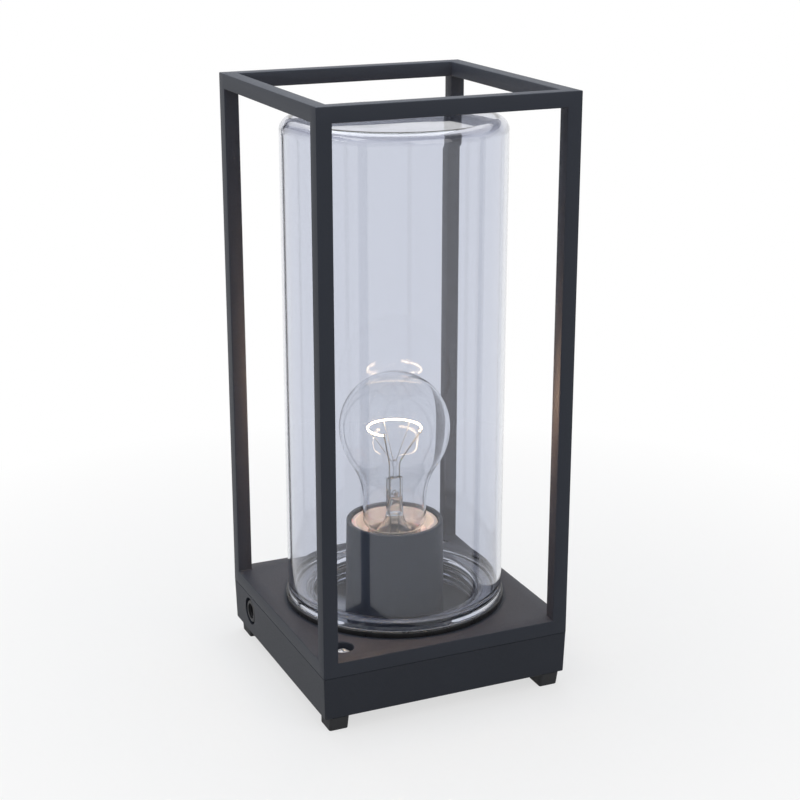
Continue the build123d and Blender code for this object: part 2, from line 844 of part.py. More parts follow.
# Feet: rubber blocks, sloped at the end that is flush with the tray, with a spigot in the tray's sockets
for corner, (side_x, side_y) in corners.items():
    with BuildPart() as foot:
        with BuildSketch():
            with Locations((side_x * foot_x, side_y * foot_y)):
                RectangleRounded(foot_width, foot_length, foot_round)
        with BuildSketch(Plane.XY.offset(foot_height)):
            with Locations((side_x * foot_x, side_y * foot_top_y)):
                RectangleRounded(foot_width, foot_length + foot_end_slope, foot_round)
        loft()
        fillet(foot.faces().sort_by(Axis.Z)[0].edges(), radius=foot_round / 2)
        with BuildSketch(Plane.XY.offset(foot_height)):
            with Locations((side_x * foot_x, side_y * foot_y)):
                Circle(spigot_radius)
        extrude(amount=spigot_height)
    foot.part.label = f"foot_{corner}"
    export_step(foot.part, f"parts/foot_{corner}.step")

# Deck screws: cross-headed, in the deck's recesses and down into the tray's bosses
recess_floor = deck_top - recess_depth
deck_screws = group_at(
    pan_screw(large_screw_radius, deck_thickness - recess_depth + deck_screw_grip, crossed=True),
    [(x, y, recess_floor) for x, y in deck_screw_places],
)
deck_screws.label = "deck_screws"
export_step(deck_screws, "parts/deck_screws.step")

# Gland body: hexagon flange on the pocket's floor and a hollow threaded tube through it
flange_face_x = pocket_floor_x - gland_flange
with BuildPart() as gland_body:
    with BuildSketch(Plane.YZ.offset(flange_face_x)):
        with Locations((gland_y, gland_z)):
            RegularPolygon(gland_flats / 2, hexagon_sides, major_radius=False)
    extrude(amount=gland_flange)
    with BuildSketch(Plane.YZ.offset(pocket_floor_x)):
        with Locations((gland_y, gland_z)):
            Circle(gland_thread_radius)
    extrude(amount=gland_thread_length)
    with BuildSketch(Plane.YZ.offset(flange_face_x)):
        with Locations((gland_y, gland_z)):
            Circle(gland_bore_radius)
    extrude(amount=gland_flange + gland_thread_length, mode=Mode.SUBTRACT)
gland_body.part.label = "gland_body"
export_step(gland_body.part, "parts/gland_body.step")

# Gland cap: round nut that stands flush with the tray's side and squeezes the rubber seal
gland_mouth_x = -half_width + tray_draft
gland_cap_length = flange_face_x - gland_mouth_x
gland_cap_bore = gland_cap_radius - gland_cap_wall
gland_seal_length = gland_cap_length - gland_cap_front
with BuildPart() as gland_cap:
    with BuildSketch(Plane.YZ.offset(gland_mouth_x)):
        with Locations((gland_y, gland_z)):
            Circle(gland_cap_radius)
    extrude(amount=gland_cap_length)
    fillet(gland_cap.faces().sort_by(Axis.X)[0].edges(), radius=gland_cap_round)
    with BuildSketch(Plane.YZ.offset(gland_mouth_x)):
        with Locations((gland_y, gland_z)):
            Circle(gland_bore_radius)
    extrude(amount=gland_cap_length, mode=Mode.SUBTRACT)
    with BuildSketch(Plane.YZ.offset(flange_face_x - gland_seal_length)):
        with Locations((gland_y, gland_z)):
            Circle(gland_cap_bore)
    extrude(amount=gland_seal_length, mode=Mode.SUBTRACT)
gland_cap.part.label = "gland_cap"
export_step(gland_cap.part, "parts/gland_cap.step")

# Gland seal: rubber sleeve inside the cap, bored for the supply cord
with BuildPart() as gland_seal:
    with BuildSketch(Plane.YZ.offset(flange_face_x - gland_seal_length)):
        with Locations((gland_y, gland_z)):
            Circle(gland_cap_bore - fit_gap)
            Circle(cord_bore_radius, mode=Mode.SUBTRACT)
    extrude(amount=gland_seal_length)
gland_seal.part.label = "gland_seal"
export_step(gland_seal.part, "parts/gland_seal.step")

# Gland nut: thin hexagon nut inside the tray
with BuildPart() as gland_nut:
    with BuildSketch(Plane.YZ.offset(pocket_floor_x + pocket_back)):
        with Locations((gland_y, gland_z)):
            RegularPolygon(gland_nut_flats / 2, hexagon_sides, major_radius=False)
            Circle(gland_thread_radius + fit_gap, mode=Mode.SUBTRACT)
    extrude(amount=gland_nut_thickness)
gland_nut.part.label = "gland_nut"
export_step(gland_nut.part, "parts/gland_nut.step")

# Terminal block: three poles, each with two screw wells from above and a wire hole in front
pole_x = [pole_pitch * step - block_from_centre for step in (-1, 0, 1)]
block_front = block_y - block_width / 2
pole_screw_y = [block_y - block_width * pole_screw_share, block_y + block_width * pole_screw_share]
pole_screw_places = [(x, y) for x in pole_x for y in pole_screw_y]
pole_well = pole_pitch * pole_screw_share
block_top = bay_floor + block_height
with BuildPart() as block:
    with BuildSketch(Plane.XY.offset(bay_floor)):
        with Locations((-block_from_centre, block_y)):
            Rectangle(block_length, block_width)
    extrude(amount=block_height)
    fillet(block.edges().filter_by(Axis.Z), radius=block_round)
    with BuildSketch(Plane.XY.offset(block_top)):
        with Locations(*pole_screw_places):
            Circle(pole_well)
    extrude(amount=-block_height * pole_well_share, mode=Mode.SUBTRACT)
    with BuildSketch(Plane.XZ.offset(-block_front)):
        with Locations(*[(x, wire_z) for x in pole_x]):
            Circle(wire_radius + fit_gap)
    extrude(amount=-wire_bore_depth, mode=Mode.SUBTRACT)
    with Locations(*[(x, y, block_top) for x, y in block_screw_places]):
        CounterBoreHole(
            block_screw_radius + fit_gap,
            block_screw_radius * head_radius_share + fit_gap,
            block_screw_sink,
            depth=block_height,
        )
block.part.label = "terminal_block"
export_step(block.part, "parts/terminal_block.step")

# Block screws: two small screws through the block into the tray's floor
block_screws = group_at(
    pan_screw(block_screw_radius, block_height - block_screw_sink + block_screw_bite),
    [(x, y, block_top - block_screw_sink) for x, y in block_screw_places],
)
block_screws.label = "block_screws"
export_step(block_screws, "parts/block_screws.step")

# Terminal screws: six short slotted screws in the block's wells
well_bottom = block_top - block_height * pole_well_share
with BuildPart() as pole_screws:
    with BuildSketch(Plane.XY.offset(well_bottom)):
        with Locations(*pole_screw_places):
            Circle(pole_well - fit_gap)
    extrude(amount=block_height * pole_well_share / 2)
    with BuildSketch(Plane.XY.offset(well_bottom + block_height * pole_well_share / 2)):
        with Locations(*pole_screw_places):
            Rectangle(2 * pole_well, pole_well * cross_width_share)
    extrude(amount=-pole_well * cross_width_share, mode=Mode.SUBTRACT)
pole_screws.part.label = "terminal_screws"
export_step(pole_screws.part, "parts/terminal_screws.step")


def wire(route):
    """One insulated wire along straight runs joined by round bends."""
    with BuildPart() as made:
        with BuildLine() as path:
            FilletPolyline(*route, radius=wire_bend)
        with BuildSketch(Plane(origin=path.line @ 0, z_dir=path.line % 0)):
            Circle(wire_radius)
        sweep(path=path.line)
    return made.part


# Live and neutral wires: from the block, across the tray and up into the holder's terminals
wire_start_y = block_front + wire_bore_depth - fit_gap
wire_end_z = holder_base + terminal_bore_depth - fit_gap
for name, start_x, end_x in (
    ("live_wire", pole_x[1], -terminal_spread),
    ("neutral_wire", pole_x[2], terminal_spread),
):
    lead = wire(
        [
            (start_x, wire_start_y, wire_z),
            (start_x, block_front - wire_run, wire_z),
            (end_x, 0, wire_z),
            (end_x, 0, wire_end_z),
        ]
    )
    lead.label = name
    export_step(lead, f"parts/{name}.step")

# Earth lug: ring and tongue on the tray's boss, and a barrel that points at the wire's bend
lug_base = bay_floor + earth_boss_height
lug_radius = large_screw_radius * head_radius_share + lug_lip
lug_centre = Vector(earth_x, earth_y, lug_base)
barrel_radius = wire_radius + barrel_wall
earth_bend = Vector(pole_x[0], block_front - wire_run, wire_z)
lug_heading = Vector(earth_bend.X - earth_x, earth_bend.Y - earth_y, 0).normalized()
barrel_start = lug_centre + lug_heading * lug_radius + Vector(0, 0, lug_thickness / 2 + barrel_radius)
barrel_heading = (earth_bend - barrel_start).normalized()
barrel_plane = Plane(origin=barrel_start, z_dir=barrel_heading)
tongue_length = lug_radius + barrel_length / 2
with BuildPart() as lug:
    with BuildSketch(Plane(origin=lug_centre, x_dir=lug_heading, z_dir=Vector(0, 0, 1))):
        Circle(lug_radius)
        Rectangle(tongue_length, 2 * wire_radius, align=(Align.MIN, Align.CENTER))
        Circle(large_screw_radius + fit_gap, mode=Mode.SUBTRACT)
    extrude(amount=lug_thickness)
    with BuildSketch(barrel_plane):
        Circle(barrel_radius)
    extrude(amount=barrel_length)
    with BuildSketch(barrel_plane.offset(barrel_length)):
        Circle(wire_radius + fit_gap)
    extrude(amount=-barrel_length / 2, mode=Mode.SUBTRACT)
lug.part.label = "earth_lug"
export_step(lug.part, "parts/earth_lug.step")

# Earth wire: from the block's first pole to the lug's barrel
earth_wire = wire(
    [
        (pole_x[0], wire_start_y, wire_z),
        earth_bend,
        barrel_start + barrel_heading * (barrel_length / 2 + fit_gap),
    ]
)
earth_wire.label = "earth_wire"
export_step(earth_wire, "parts/earth_wire.step")

# Earth screw: holds the lug on the boss
earth_screw = group_at(
    pan_screw(large_screw_radius, lug_thickness + earth_boss_height),
    [(earth_x, earth_y, lug_base + lug_thickness)],
)
earth_screw.label = "earth_screw"
export_step(earth_screw, "parts/earth_screw.step")
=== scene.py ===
import itertools
import math

import bmesh
import bpy
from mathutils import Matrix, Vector


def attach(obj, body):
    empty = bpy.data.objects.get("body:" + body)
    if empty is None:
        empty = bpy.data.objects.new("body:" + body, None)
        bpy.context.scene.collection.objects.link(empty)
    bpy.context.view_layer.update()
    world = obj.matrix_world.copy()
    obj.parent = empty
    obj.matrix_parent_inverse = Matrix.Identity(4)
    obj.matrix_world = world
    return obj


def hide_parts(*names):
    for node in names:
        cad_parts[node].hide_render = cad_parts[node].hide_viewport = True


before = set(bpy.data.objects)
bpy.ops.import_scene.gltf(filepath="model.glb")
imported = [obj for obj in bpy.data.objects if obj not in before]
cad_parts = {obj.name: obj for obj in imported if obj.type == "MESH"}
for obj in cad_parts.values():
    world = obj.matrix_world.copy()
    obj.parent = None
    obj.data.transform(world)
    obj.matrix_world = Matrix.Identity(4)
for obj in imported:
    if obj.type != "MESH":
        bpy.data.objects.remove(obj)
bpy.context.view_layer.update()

# Tray: shallow die-cast box under the deck that holds the wiring. It is aluminium with a fine
# anthracite powder coat, which dries to a dense grain like orange peel.
anthracite = (0.025, 0.0285, 0.038, 1)
anthracite_peak = (0.033, 0.0375, 0.0495, 1)
grain_rate, grain_depth = 2300.0, 0.00007


def filled(node, values):
    """A node with these values set on its unlinked inputs."""
    for key, value in values.items():
        node.inputs[key].default_value = value
    return node


def node_at(tree, kind, settings=None, values=None):
    """A new shader node with its settings and its unlinked input values."""
    made = tree.nodes.new(kind)
    for key, value in (settings or {}).items():
        setattr(made, key, value)
    return filled(made, values or {})


def node_of(tree, kind):
    """The first node of a type in a tree."""
    return next(node for node in tree.nodes if node.type == kind)


def place_in(tree):
    """The socket of a place in the object's own frame."""
    return node_at(tree, "ShaderNodeTexCoord").outputs["Object"]


def math_at(tree, operation, values=None):
    """A node that works out one number, with its unlinked values by their place."""
    return node_at(tree, "ShaderNodeMath", {"operation": operation}, values)


def range_at(tree, low, high, at_low, at_high):
    """A node that maps the values from low to high onto another span."""
    return node_at(tree, "ShaderNodeMapRange", values={1: low, 2: high, 3: at_low, 4: at_high})


def joined(tree, *pairs):
    """Links sockets of a node tree, each pair from a source to a target."""
    for source, target in pairs:
        tree.links.new(source, target)


def blended(tree, share, first, second):
    """A colour socket between two others, by a share from 0 to 1."""
    mix = node_at(tree, "ShaderNodeMix", {"data_type": "RGBA"})
    joined(tree, (share, mix.inputs["Factor"]), (first, mix.inputs[6]), (second, mix.inputs[7]))
    return mix.outputs[2]


def finish_group(name, inputs, outputs):
    """An empty shader node group with named sockets, its input node and its output node. Inputs
    given as a tuple and the output Color are colours."""
    tree = bpy.data.node_groups.new(name, "ShaderNodeTree")
    for label, value in inputs.items():
        kind = "NodeSocketColor" if isinstance(value, tuple) else "NodeSocketFloat"
        tree.interface.new_socket(label, in_out="INPUT", socket_type=kind).default_value = value
    for label in outputs:
        kind = "NodeSocketColor" if label == "Color" else "NodeSocketFloat"
        tree.interface.new_socket(label, in_out="OUTPUT", socket_type=kind)
    return tree, tree.nodes.new("NodeGroupInput"), tree.nodes.new("NodeGroupOutput")


def finish_material(name, values):
    """A material with one Principled shader, whose constant values are set on its own sockets."""
    made = bpy.data.materials.new(name)
    made.use_nodes = True
    tree = made.node_tree
    return made, tree, filled(node_of(tree, "BSDF_PRINCIPLED"), values)


def raised(tree, shader, height, strength, distance):
    """A bump on the shader's normal from a height socket; distance is in metres."""
    bump = node_at(tree, "ShaderNodeBump", values={"Strength": strength, "Distance": distance})
    tree.links.new(height, bump.inputs["Height"])
    tree.links.new(bump.outputs["Normal"], shader.inputs["Normal"])


def group_in(tree, group, values):
    """A node group placed in a material with this material's own values."""
    return node_at(tree, "ShaderNodeGroup", {"node_tree": group}, values)


coat_grain, coat_in, coat_out = finish_group(
    "coat_grain",
    {"Valley": anthracite, "Peak": anthracite_peak, "Grains per metre": grain_rate},
    ["Color", "Roughness", "Height"],
)
coat_place = place_in(coat_grain)
coat_fine = node_at(coat_grain, "ShaderNodeTexNoise", values={"Detail": 2.0, "Roughness": 0.55})
coat_cloud = node_at(coat_grain, "ShaderNodeTexNoise", values={"Scale": 45.0, "Detail": 3.0})
coat_mix = math_at(coat_grain, "MULTIPLY_ADD", {1: 0.35})
coat_share = range_at(coat_grain, 0.42, 0.95, 0.0, 1.0)
coat_rough = range_at(coat_grain, 0.3, 0.7, 0.56, 0.44)
coat_color = blended(
    coat_grain, coat_share.outputs["Result"], coat_in.outputs["Valley"], coat_in.outputs["Peak"]
)
joined(
    coat_grain,
    (coat_place, coat_fine.inputs["Vector"]),
    (coat_place, coat_cloud.inputs["Vector"]),
    (coat_in.outputs["Grains per metre"], coat_fine.inputs["Scale"]),
    (coat_cloud.outputs["Fac"], coat_mix.inputs[0]),
    (coat_fine.outputs["Fac"], coat_mix.inputs[2]),
    (coat_mix.outputs[0], coat_share.inputs["Value"]),
    (coat_fine.outputs["Fac"], coat_rough.inputs["Value"]),
    (coat_color, coat_out.inputs["Color"]),
    (coat_rough.outputs["Result"], coat_out.inputs["Roughness"]),
    (coat_fine.outputs["Fac"], coat_out.inputs["Height"]),
)


def coated(name, valley, peak, grains, depth):
    """Powder coat over metal: grainy colour and roughness, and a low grain in the surface."""
    made, tree, shader = finish_material(name, {"Specular IOR Level": 0.17})
    grain = group_in(tree, coat_grain, {"Valley": valley, "Peak": peak, "Grains per metre": grains})
    tree.links.new(grain.outputs["Color"], shader.inputs["Base Color"])
    tree.links.new(grain.outputs["Roughness"], shader.inputs["Roughness"])
    raised(tree, shader, grain.outputs["Height"], 0.4, depth)
    return made


def dress(material, *names):
    """CAD nodes that stay as they are and take this material."""
    for name in names:
        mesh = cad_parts[name].data
        mesh.materials.clear()
        mesh.materials.append(material)


# The tray's coat is darker than the cage's: painted shade for its sloping sides, which get less light.
tray_shaded_coat = coated(
    "tray_shaded_powder_coat", (0.02, 0.0228, 0.0304, 1), (0.0265, 0.03, 0.0396, 1), grain_rate, grain_depth
)
dress(tray_shaded_coat, "tray")

# Tray seal and feet: moulded black rubber. The seal lies in the groove of the tray's rim, and
# each foot is a block whose spigot is pushed into a socket from below.
rubber_dark = (0.018, 0.0185, 0.02, 1)
rubber_bloom = (0.036, 0.037, 0.04, 1)
soft_cloud, cloud_in, cloud_out = finish_group(
    "soft_cloud",
    {
        "Deep": rubber_dark, "Pale": rubber_bloom,
        "Clouds per metre": 120.0, "Speckles per metre": 1500.0,
    },
    ["Color", "Mask", "Height"],
)
cloud_place = place_in(soft_cloud)
cloud_large = node_at(soft_cloud, "ShaderNodeTexNoise", values={"Detail": 4.0, "Roughness": 0.6})
cloud_small = node_at(soft_cloud, "ShaderNodeTexNoise", values={"Detail": 1.0})
cloud_range = range_at(soft_cloud, 0.36, 0.66, 0.0, 1.0)
cloud_color = blended(
    soft_cloud, cloud_range.outputs["Result"], cloud_in.outputs["Deep"], cloud_in.outputs["Pale"]
)
for noise, rate in ((cloud_large, "Clouds per metre"), (cloud_small, "Speckles per metre")):
    soft_cloud.links.new(cloud_place, noise.inputs["Vector"])
    soft_cloud.links.new(cloud_in.outputs[rate], noise.inputs["Scale"])
joined(
    soft_cloud,
    (cloud_large.outputs["Fac"], cloud_range.inputs["Value"]),
    (cloud_color, cloud_out.inputs["Color"]),
    (cloud_range.outputs["Result"], cloud_out.inputs["Mask"]),
    (cloud_small.outputs["Fac"], cloud_out.inputs["Height"]),
)


def patterned(name, values, pattern, own, spread, rough, strength, depth):
    """A material from a pattern: its colour, its mask spread between two roughnesses, its relief."""
    made, tree, shader = finish_material(name, values)
    marks = group_in(tree, pattern, own)
    span = range_at(tree, *spread, *rough)
    tree.links.new(marks.outputs["Color"], shader.inputs["Base Color"])
    tree.links.new(marks.outputs["Mask"], span.inputs["Value"])
    tree.links.new(span.outputs["Result"], shader.inputs["Roughness"])
    raised(tree, shader, marks.outputs["Height"], strength, depth)
    return made


def clouded(name, deep, pale, clouds, speckles, rough, values, depth):
    """A moulded finish: cloudy colour, roughness between two values and a fine speckle."""
    own = {"Deep": deep, "Pale": pale, "Clouds per metre": clouds, "Speckles per metre": speckles}
    return patterned(name, values, soft_cloud, own, (0.0, 1.0), rough, 0.35, depth)


foot_rubber = clouded(
    "foot_rubber", rubber_dark, rubber_bloom, 160.0, 2600.0, (0.62, 0.8),
    {"Specular IOR Level": 0.3}, 0.00008
)
dress(foot_rubber, "foot_front_left", "foot_front_right", "foot_back_left", "foot_back_right")
seal_rubber = clouded(
    "seal_rubber", (0.01, 0.01, 0.0105, 1), (0.022, 0.022, 0.024, 1), 90.0, 1800.0, (0.35, 0.5),
    {"Specular IOR Level": 0.45}, 0.00005
)
dress(seal_rubber, "tray_seal")

# Cable gland: black nylon body, round cap and nut, with a rubber sleeve that the cap squeezes.
# It sits in the round pocket low on the left side.
gland_nylon = clouded(
    "gland_nylon", (0.015, 0.0155, 0.017, 1), (0.027, 0.028, 0.031, 1), 220.0, 3200.0, (0.46, 0.62),
    {"Specular IOR Level": 0.3}, 0.00006
)
dress(gland_nylon, "gland_body", "gland_cap", "gland_nut")
dress(seal_rubber, "gland_seal")

# Terminal block and wiring: a pale polyamide block screwed to the tray's floor, with steel
# screws over its poles. Brown, blue and green-yellow cores run to the holder and the earth lug.
block_polyamide = clouded(
    "block_polyamide", (0.7, 0.69, 0.66, 1), (0.82, 0.81, 0.78, 1), 90.0, 1200.0, (0.36, 0.5),
    {"Specular IOR Level": 0.45, "Subsurface Weight": 0.05, "Subsurface Scale": 0.001}, 0.00004
)
dress(block_polyamide, "terminal_block")
for core, deep, pale in (
    ("live_wire", (0.13, 0.045, 0.016, 1), (0.2, 0.075, 0.03, 1)),
    ("neutral_wire", (0.012, 0.06, 0.3, 1), (0.025, 0.1, 0.42, 1)),
):
    core_plastic = clouded(core + "_plastic", deep, pale, 300.0, 2500.0, (0.3, 0.42), {}, 0.00003)
    dress(core_plastic, core)
earth_plastic, earth_tree, earth_shader = finish_material("earth_wire_plastic", {"Roughness": 0.36})
earth_place = place_in(earth_tree)
earth_wave = node_at(
    earth_tree, "ShaderNodeTexWave", {"wave_type": "BANDS", "bands_direction": "Z"},
    {"Scale": 190.0, "Distortion": 0.4}
)


def ramp_at(tree, *stops):
    """A colour ramp between two stops, each a place from 0 to 1 and a colour."""
    ramp = node_at(tree, "ShaderNodeValToRGB")
    for element, (place, color) in zip(ramp.color_ramp.elements, stops):
        element.position = place
        element.color = color
    return ramp


earth_ramp = ramp_at(earth_tree, (0.44, (0.05, 0.26, 0.03, 1)), (0.52, (0.72, 0.6, 0.03, 1)))
earth_tree.links.new(earth_place, earth_wave.inputs["Vector"])
earth_tree.links.new(earth_wave.outputs["Fac"], earth_ramp.inputs["Fac"])
earth_tree.links.new(earth_ramp.outputs["Color"], earth_shader.inputs["Base Color"])
dress(earth_plastic, "earth_wire")

# Screws, lug and terminals: turned and stamped metal. Steel is zinc plated, the lug and the
# holder's terminals are brass. All carry fine marks from the tool.
tool_marks, marks_in, marks_out = finish_group(
    "tool_marks",
    {"Deep": (0.4, 0.41, 0.43, 1), "Pale": (0.6, 0.61, 0.63, 1), "Marks per metre": 700.0},
    ["Color", "Mask", "Height"],
)
marks_place = place_in(tool_marks)
marks_stretch = node_at(tool_marks, "ShaderNodeMapping", values={"Scale": (1.0, 1.0, 7.0)})
marks_noise = node_at(tool_marks, "ShaderNodeTexNoise", values={"Detail": 3.0, "Roughness": 0.65})
marks_color = blended(
    tool_marks, marks_noise.outputs["Fac"], marks_in.outputs["Deep"], marks_in.outputs["Pale"]
)
joined(
    tool_marks,
    (marks_place, marks_stretch.inputs["Vector"]),
    (marks_stretch.outputs["Vector"], marks_noise.inputs["Vector"]),
    (marks_in.outputs["Marks per metre"], marks_noise.inputs["Scale"]),
    (marks_color, marks_out.inputs["Color"]),
    (marks_noise.outputs["Fac"], marks_out.inputs["Mask"]),
    (marks_noise.outputs["Fac"], marks_out.inputs["Height"]),
)


def metal(name, deep, pale, marks, rough):
    """Bare metal with fine tool marks in its colour, gloss and surface."""
    own = {"Deep": deep, "Pale": pale, "Marks per metre": marks}
    return patterned(name, {"Metallic": 1.0}, tool_marks, own, (0.3, 0.7), rough, 0.25, 0.00003)


screw_steel = metal("screw_steel", (0.42, 0.43, 0.45, 1), (0.62, 0.63, 0.65, 1), 900.0, (0.24, 0.42))
dress(screw_steel, "block_screws", "terminal_screws", "earth_screw")
dress(screw_steel, "collar_screws", "post_screws", "holder_screws")
# The deck's screws take a paler steel than the others: painted light on their heads deep in the
# recesses.
deck_screw_lit_steel = metal(
    "deck_screw_lit_steel", (0.5, 0.5, 0.51, 1), (0.66, 0.66, 0.68, 1), 1100.0, (0.4, 0.55)
)
dress(deck_screw_lit_steel, "deck_screws")
brass = metal("holder_brass", (0.62, 0.47, 0.22, 1), (0.78, 0.63, 0.34, 1), 800.0, (0.2, 0.38))
dress(brass, "earth_lug", "holder_terminals", "centre_contact")

# Threaded collar: a round well moulded in black plastic, screwed up under the deck, with a coarse
# thread inside that takes the jar's neck. Its thread's crests are painted pale, a painted highlight.
mm = 0.001
deck_low, deck_top = 31.0, 39.0
wire_hole, collar_low, well_floor, collar_wall, collar_flange = 11.5, 25.0, 28.0, 51.4, 57.4
collar_bore, collar_root, collar_pitch, thread_step, thread_fade = 48.4, 49.2, 3.5, 0.25, 1.2
collar_thread_low, collar_thread_high, crest_limit = 28.4, 38.6, 49.0


def softened(points, radii, steps=7):
    """An outline of (radius, height) points with each inner corner rounded by its radius."""
    made = [points[0]]
    for before, corner, after, radius in zip(points, points[1:], points[2:], radii):
        here = Vector(corner)
        to_before = (Vector(before) - here).normalized()
        to_after = (Vector(after) - here).normalized()
        half = to_before.angle(to_after) / 2
        reach = radius / math.tan(half)
        middle = here + (to_before + to_after).normalized() * (radius / math.sin(half))
        start = here + to_before * reach - middle
        turn = start.angle_signed(here + to_after * reach - middle)
        for step in range(steps + 1):
            angle = -turn * step / steps
            made.append((
                middle.x + start.x * math.cos(angle) - start.y * math.sin(angle),
                middle.y + start.x * math.sin(angle) + start.y * math.cos(angle),
            ))
    made.append(points[-1])
    return made


def finely(start, end, step):
    """Points along a straight run of an outline, about one step apart."""
    count = max(1, round((Vector(end) - Vector(start)).length / step))
    return [tuple(Vector(start).lerp(Vector(end), i / count)) for i in range(count + 1)]


def placed(name, data):
    """A new object with this data, put into the scene."""
    made = bpy.data.objects.new(name, data)
    bpy.context.scene.collection.objects.link(made)
    return made


def piece(mesh, material, body, slot, *nodes):
    """A finished mesh as a piece of its name: it rides on its body and stands for these CAD nodes."""
    made = placed(mesh.name, mesh)
    mesh.materials.append(material)
    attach(made, body)
    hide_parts(*nodes)


def creased(shape, degrees):
    """Shades a shape smooth, but for the edges that turn by more than these degrees."""
    for face in shape.faces:
        face.smooth = True
    for edge in shape.edges:
        edge.smooth = len(edge.link_faces) < 2 or edge.calc_face_angle(0) < math.radians(degrees)


def mesh_of(shape, name):
    """A mesh made from a shape, which is then freed."""
    mesh = bpy.data.meshes.new(name)
    shape.to_mesh(mesh)
    shape.free()
    return mesh


def turned(name, outline, segments, thread=None):
    """A closed mesh turned about the centre line from an outline in millimetres. A thread
    moves a point in or out by its radius, height and angle."""
    shape = bmesh.new()
    rings = []
    for radius, height in outline:
        if radius < 0.001:
            rings.append([shape.verts.new((0, 0, height * mm))])
            continue
        ring = []
        for index in range(segments):
            angle = 2 * math.pi * index / segments
            out = (radius + (thread(radius, height, angle) if thread else 0)) * mm
            ring.append(shape.verts.new((out * math.cos(angle), out * math.sin(angle), height * mm)))
        rings.append(ring)
    for lower, upper in zip(rings, rings[1:] + rings[:1]):
        if len(lower) == len(upper) == 1:
            continue
        for index in range(segments):
            after = (index + 1) % segments
            corners = [
                lower[index % len(lower)], lower[after % len(lower)],
                upper[after % len(upper)], upper[index % len(upper)],
            ]
            shape.faces.new(list(dict.fromkeys(corners)))
    bmesh.ops.recalc_face_normals(shape, faces=shape.faces)
    creased(shape, degrees=40)
    return mesh_of(shape, name)


def thread_wave(height, angle, pitch, low, high):
    """How far a right-hand thread stands at a place, 0 to 1, fading out at both ends."""
    wave = 0.5 + 0.8 * math.cos(2 * math.pi * (height / pitch) - angle)
    fade = min(1.0, max(0.0, (height - low) / thread_fade), max(0.0, (high - height) / thread_fade))
    return min(1.0, max(0.0, wave)) * fade


def collar_thread(radius, height, angle):
    if abs(radius - collar_bore) > 0.01:
        return 0
    stand = thread_wave(height, angle, collar_pitch, collar_thread_low, collar_thread_high)
    return (collar_root - collar_bore) * stand


def overlaid(material, color, blend="MIX"):
    """Lays a second colour over a finished material's own. Gives its tree, the place on the object
    along each axis and the socket for the second colour's share."""
    tree = material.node_tree
    shader, own = node_of(tree, "BSDF_PRINCIPLED"), node_of(tree, "GROUP")
    place = place_in(tree)
    axes = node_at(tree, "ShaderNodeSeparateXYZ")
    mix = node_at(tree, "ShaderNodeMix", {"data_type": "RGBA", "blend_type": blend}, {7: color})
    joined(
        tree,
        (place, axes.inputs["Vector"]),
        (own.outputs["Color"], mix.inputs[6]),
        (mix.outputs[2], shader.inputs["Base Color"]),
    )
    return tree, axes.outputs, mix.inputs["Factor"]


def squared_out(tree, axes):
    """The square of a place's distance from the centre line."""
    across = math_at(tree, "MULTIPLY")
    square = math_at(tree, "MULTIPLY_ADD")
    for slot in (0, 1):
        tree.links.new(axes["X"], across.inputs[slot])
        tree.links.new(axes["Y"], square.inputs[slot])
    tree.links.new(across.outputs[0], square.inputs[2])
    return square.outputs[0]


collar_outline = [(wire_hole, collar_low), (collar_wall, collar_low), (collar_wall, well_floor)]
collar_outline += [(collar_flange, well_floor), (collar_flange, deck_low)]
collar_outline += [(collar_wall, deck_low), (collar_wall, deck_top)]
collar_outline += finely((collar_bore, deck_top), (collar_bore, well_floor), thread_step)
collar_outline += [(wire_hole, well_floor)]
collar_plastic = clouded(
    "collar_plastic", (0.018, 0.019, 0.022, 1), (0.03, 0.032, 0.036, 1), 140.0, 2600.0, (0.4, 0.52),
    {"Specular IOR Level": 0.4}, 0.00005
)
# Pale crests of the thread: a painted highlight along it, seen through the glass.
crest_tree, crest_axes, crest_highlight_share = overlaid(collar_plastic, (0.36, 0.375, 0.41, 1))
crest_around = math_at(crest_tree, "ARCTAN2")
crest_rise = math_at(crest_tree, "MULTIPLY", {1: 2 * math.pi / (collar_pitch * mm)})
crest_wind = math_at(crest_tree, "SUBTRACT")
crest_wave = math_at(crest_tree, "COSINE")
crest_band = range_at(crest_tree, -0.8, -0.5, 1.0, 0.0)
crest_inside = math_at(crest_tree, "LESS_THAN", {1: (crest_limit * mm) ** 2})
crest_highlight_mask = math_at(crest_tree, "MULTIPLY")
joined(
    crest_tree,
    (crest_axes["Y"], crest_around.inputs[0]),
    (crest_axes["X"], crest_around.inputs[1]),
    (crest_axes["Z"], crest_rise.inputs[0]),
    (crest_rise.outputs[0], crest_wind.inputs[0]),
    (crest_around.outputs[0], crest_wind.inputs[1]),
    (crest_wind.outputs[0], crest_wave.inputs[0]),
    (crest_wave.outputs[0], crest_band.inputs["Value"]),
    (squared_out(crest_tree, crest_axes), crest_inside.inputs[0]),
    (crest_inside.outputs[0], crest_highlight_mask.inputs[0]),
    (crest_band.outputs["Result"], crest_highlight_mask.inputs[1]),
    (crest_highlight_mask.outputs[0], crest_highlight_share),
)
collar_mesh = turned("threaded_collar", collar_outline, 256, collar_thread)
piece(collar_mesh, collar_plastic, "base", "black_plastic", "collar")

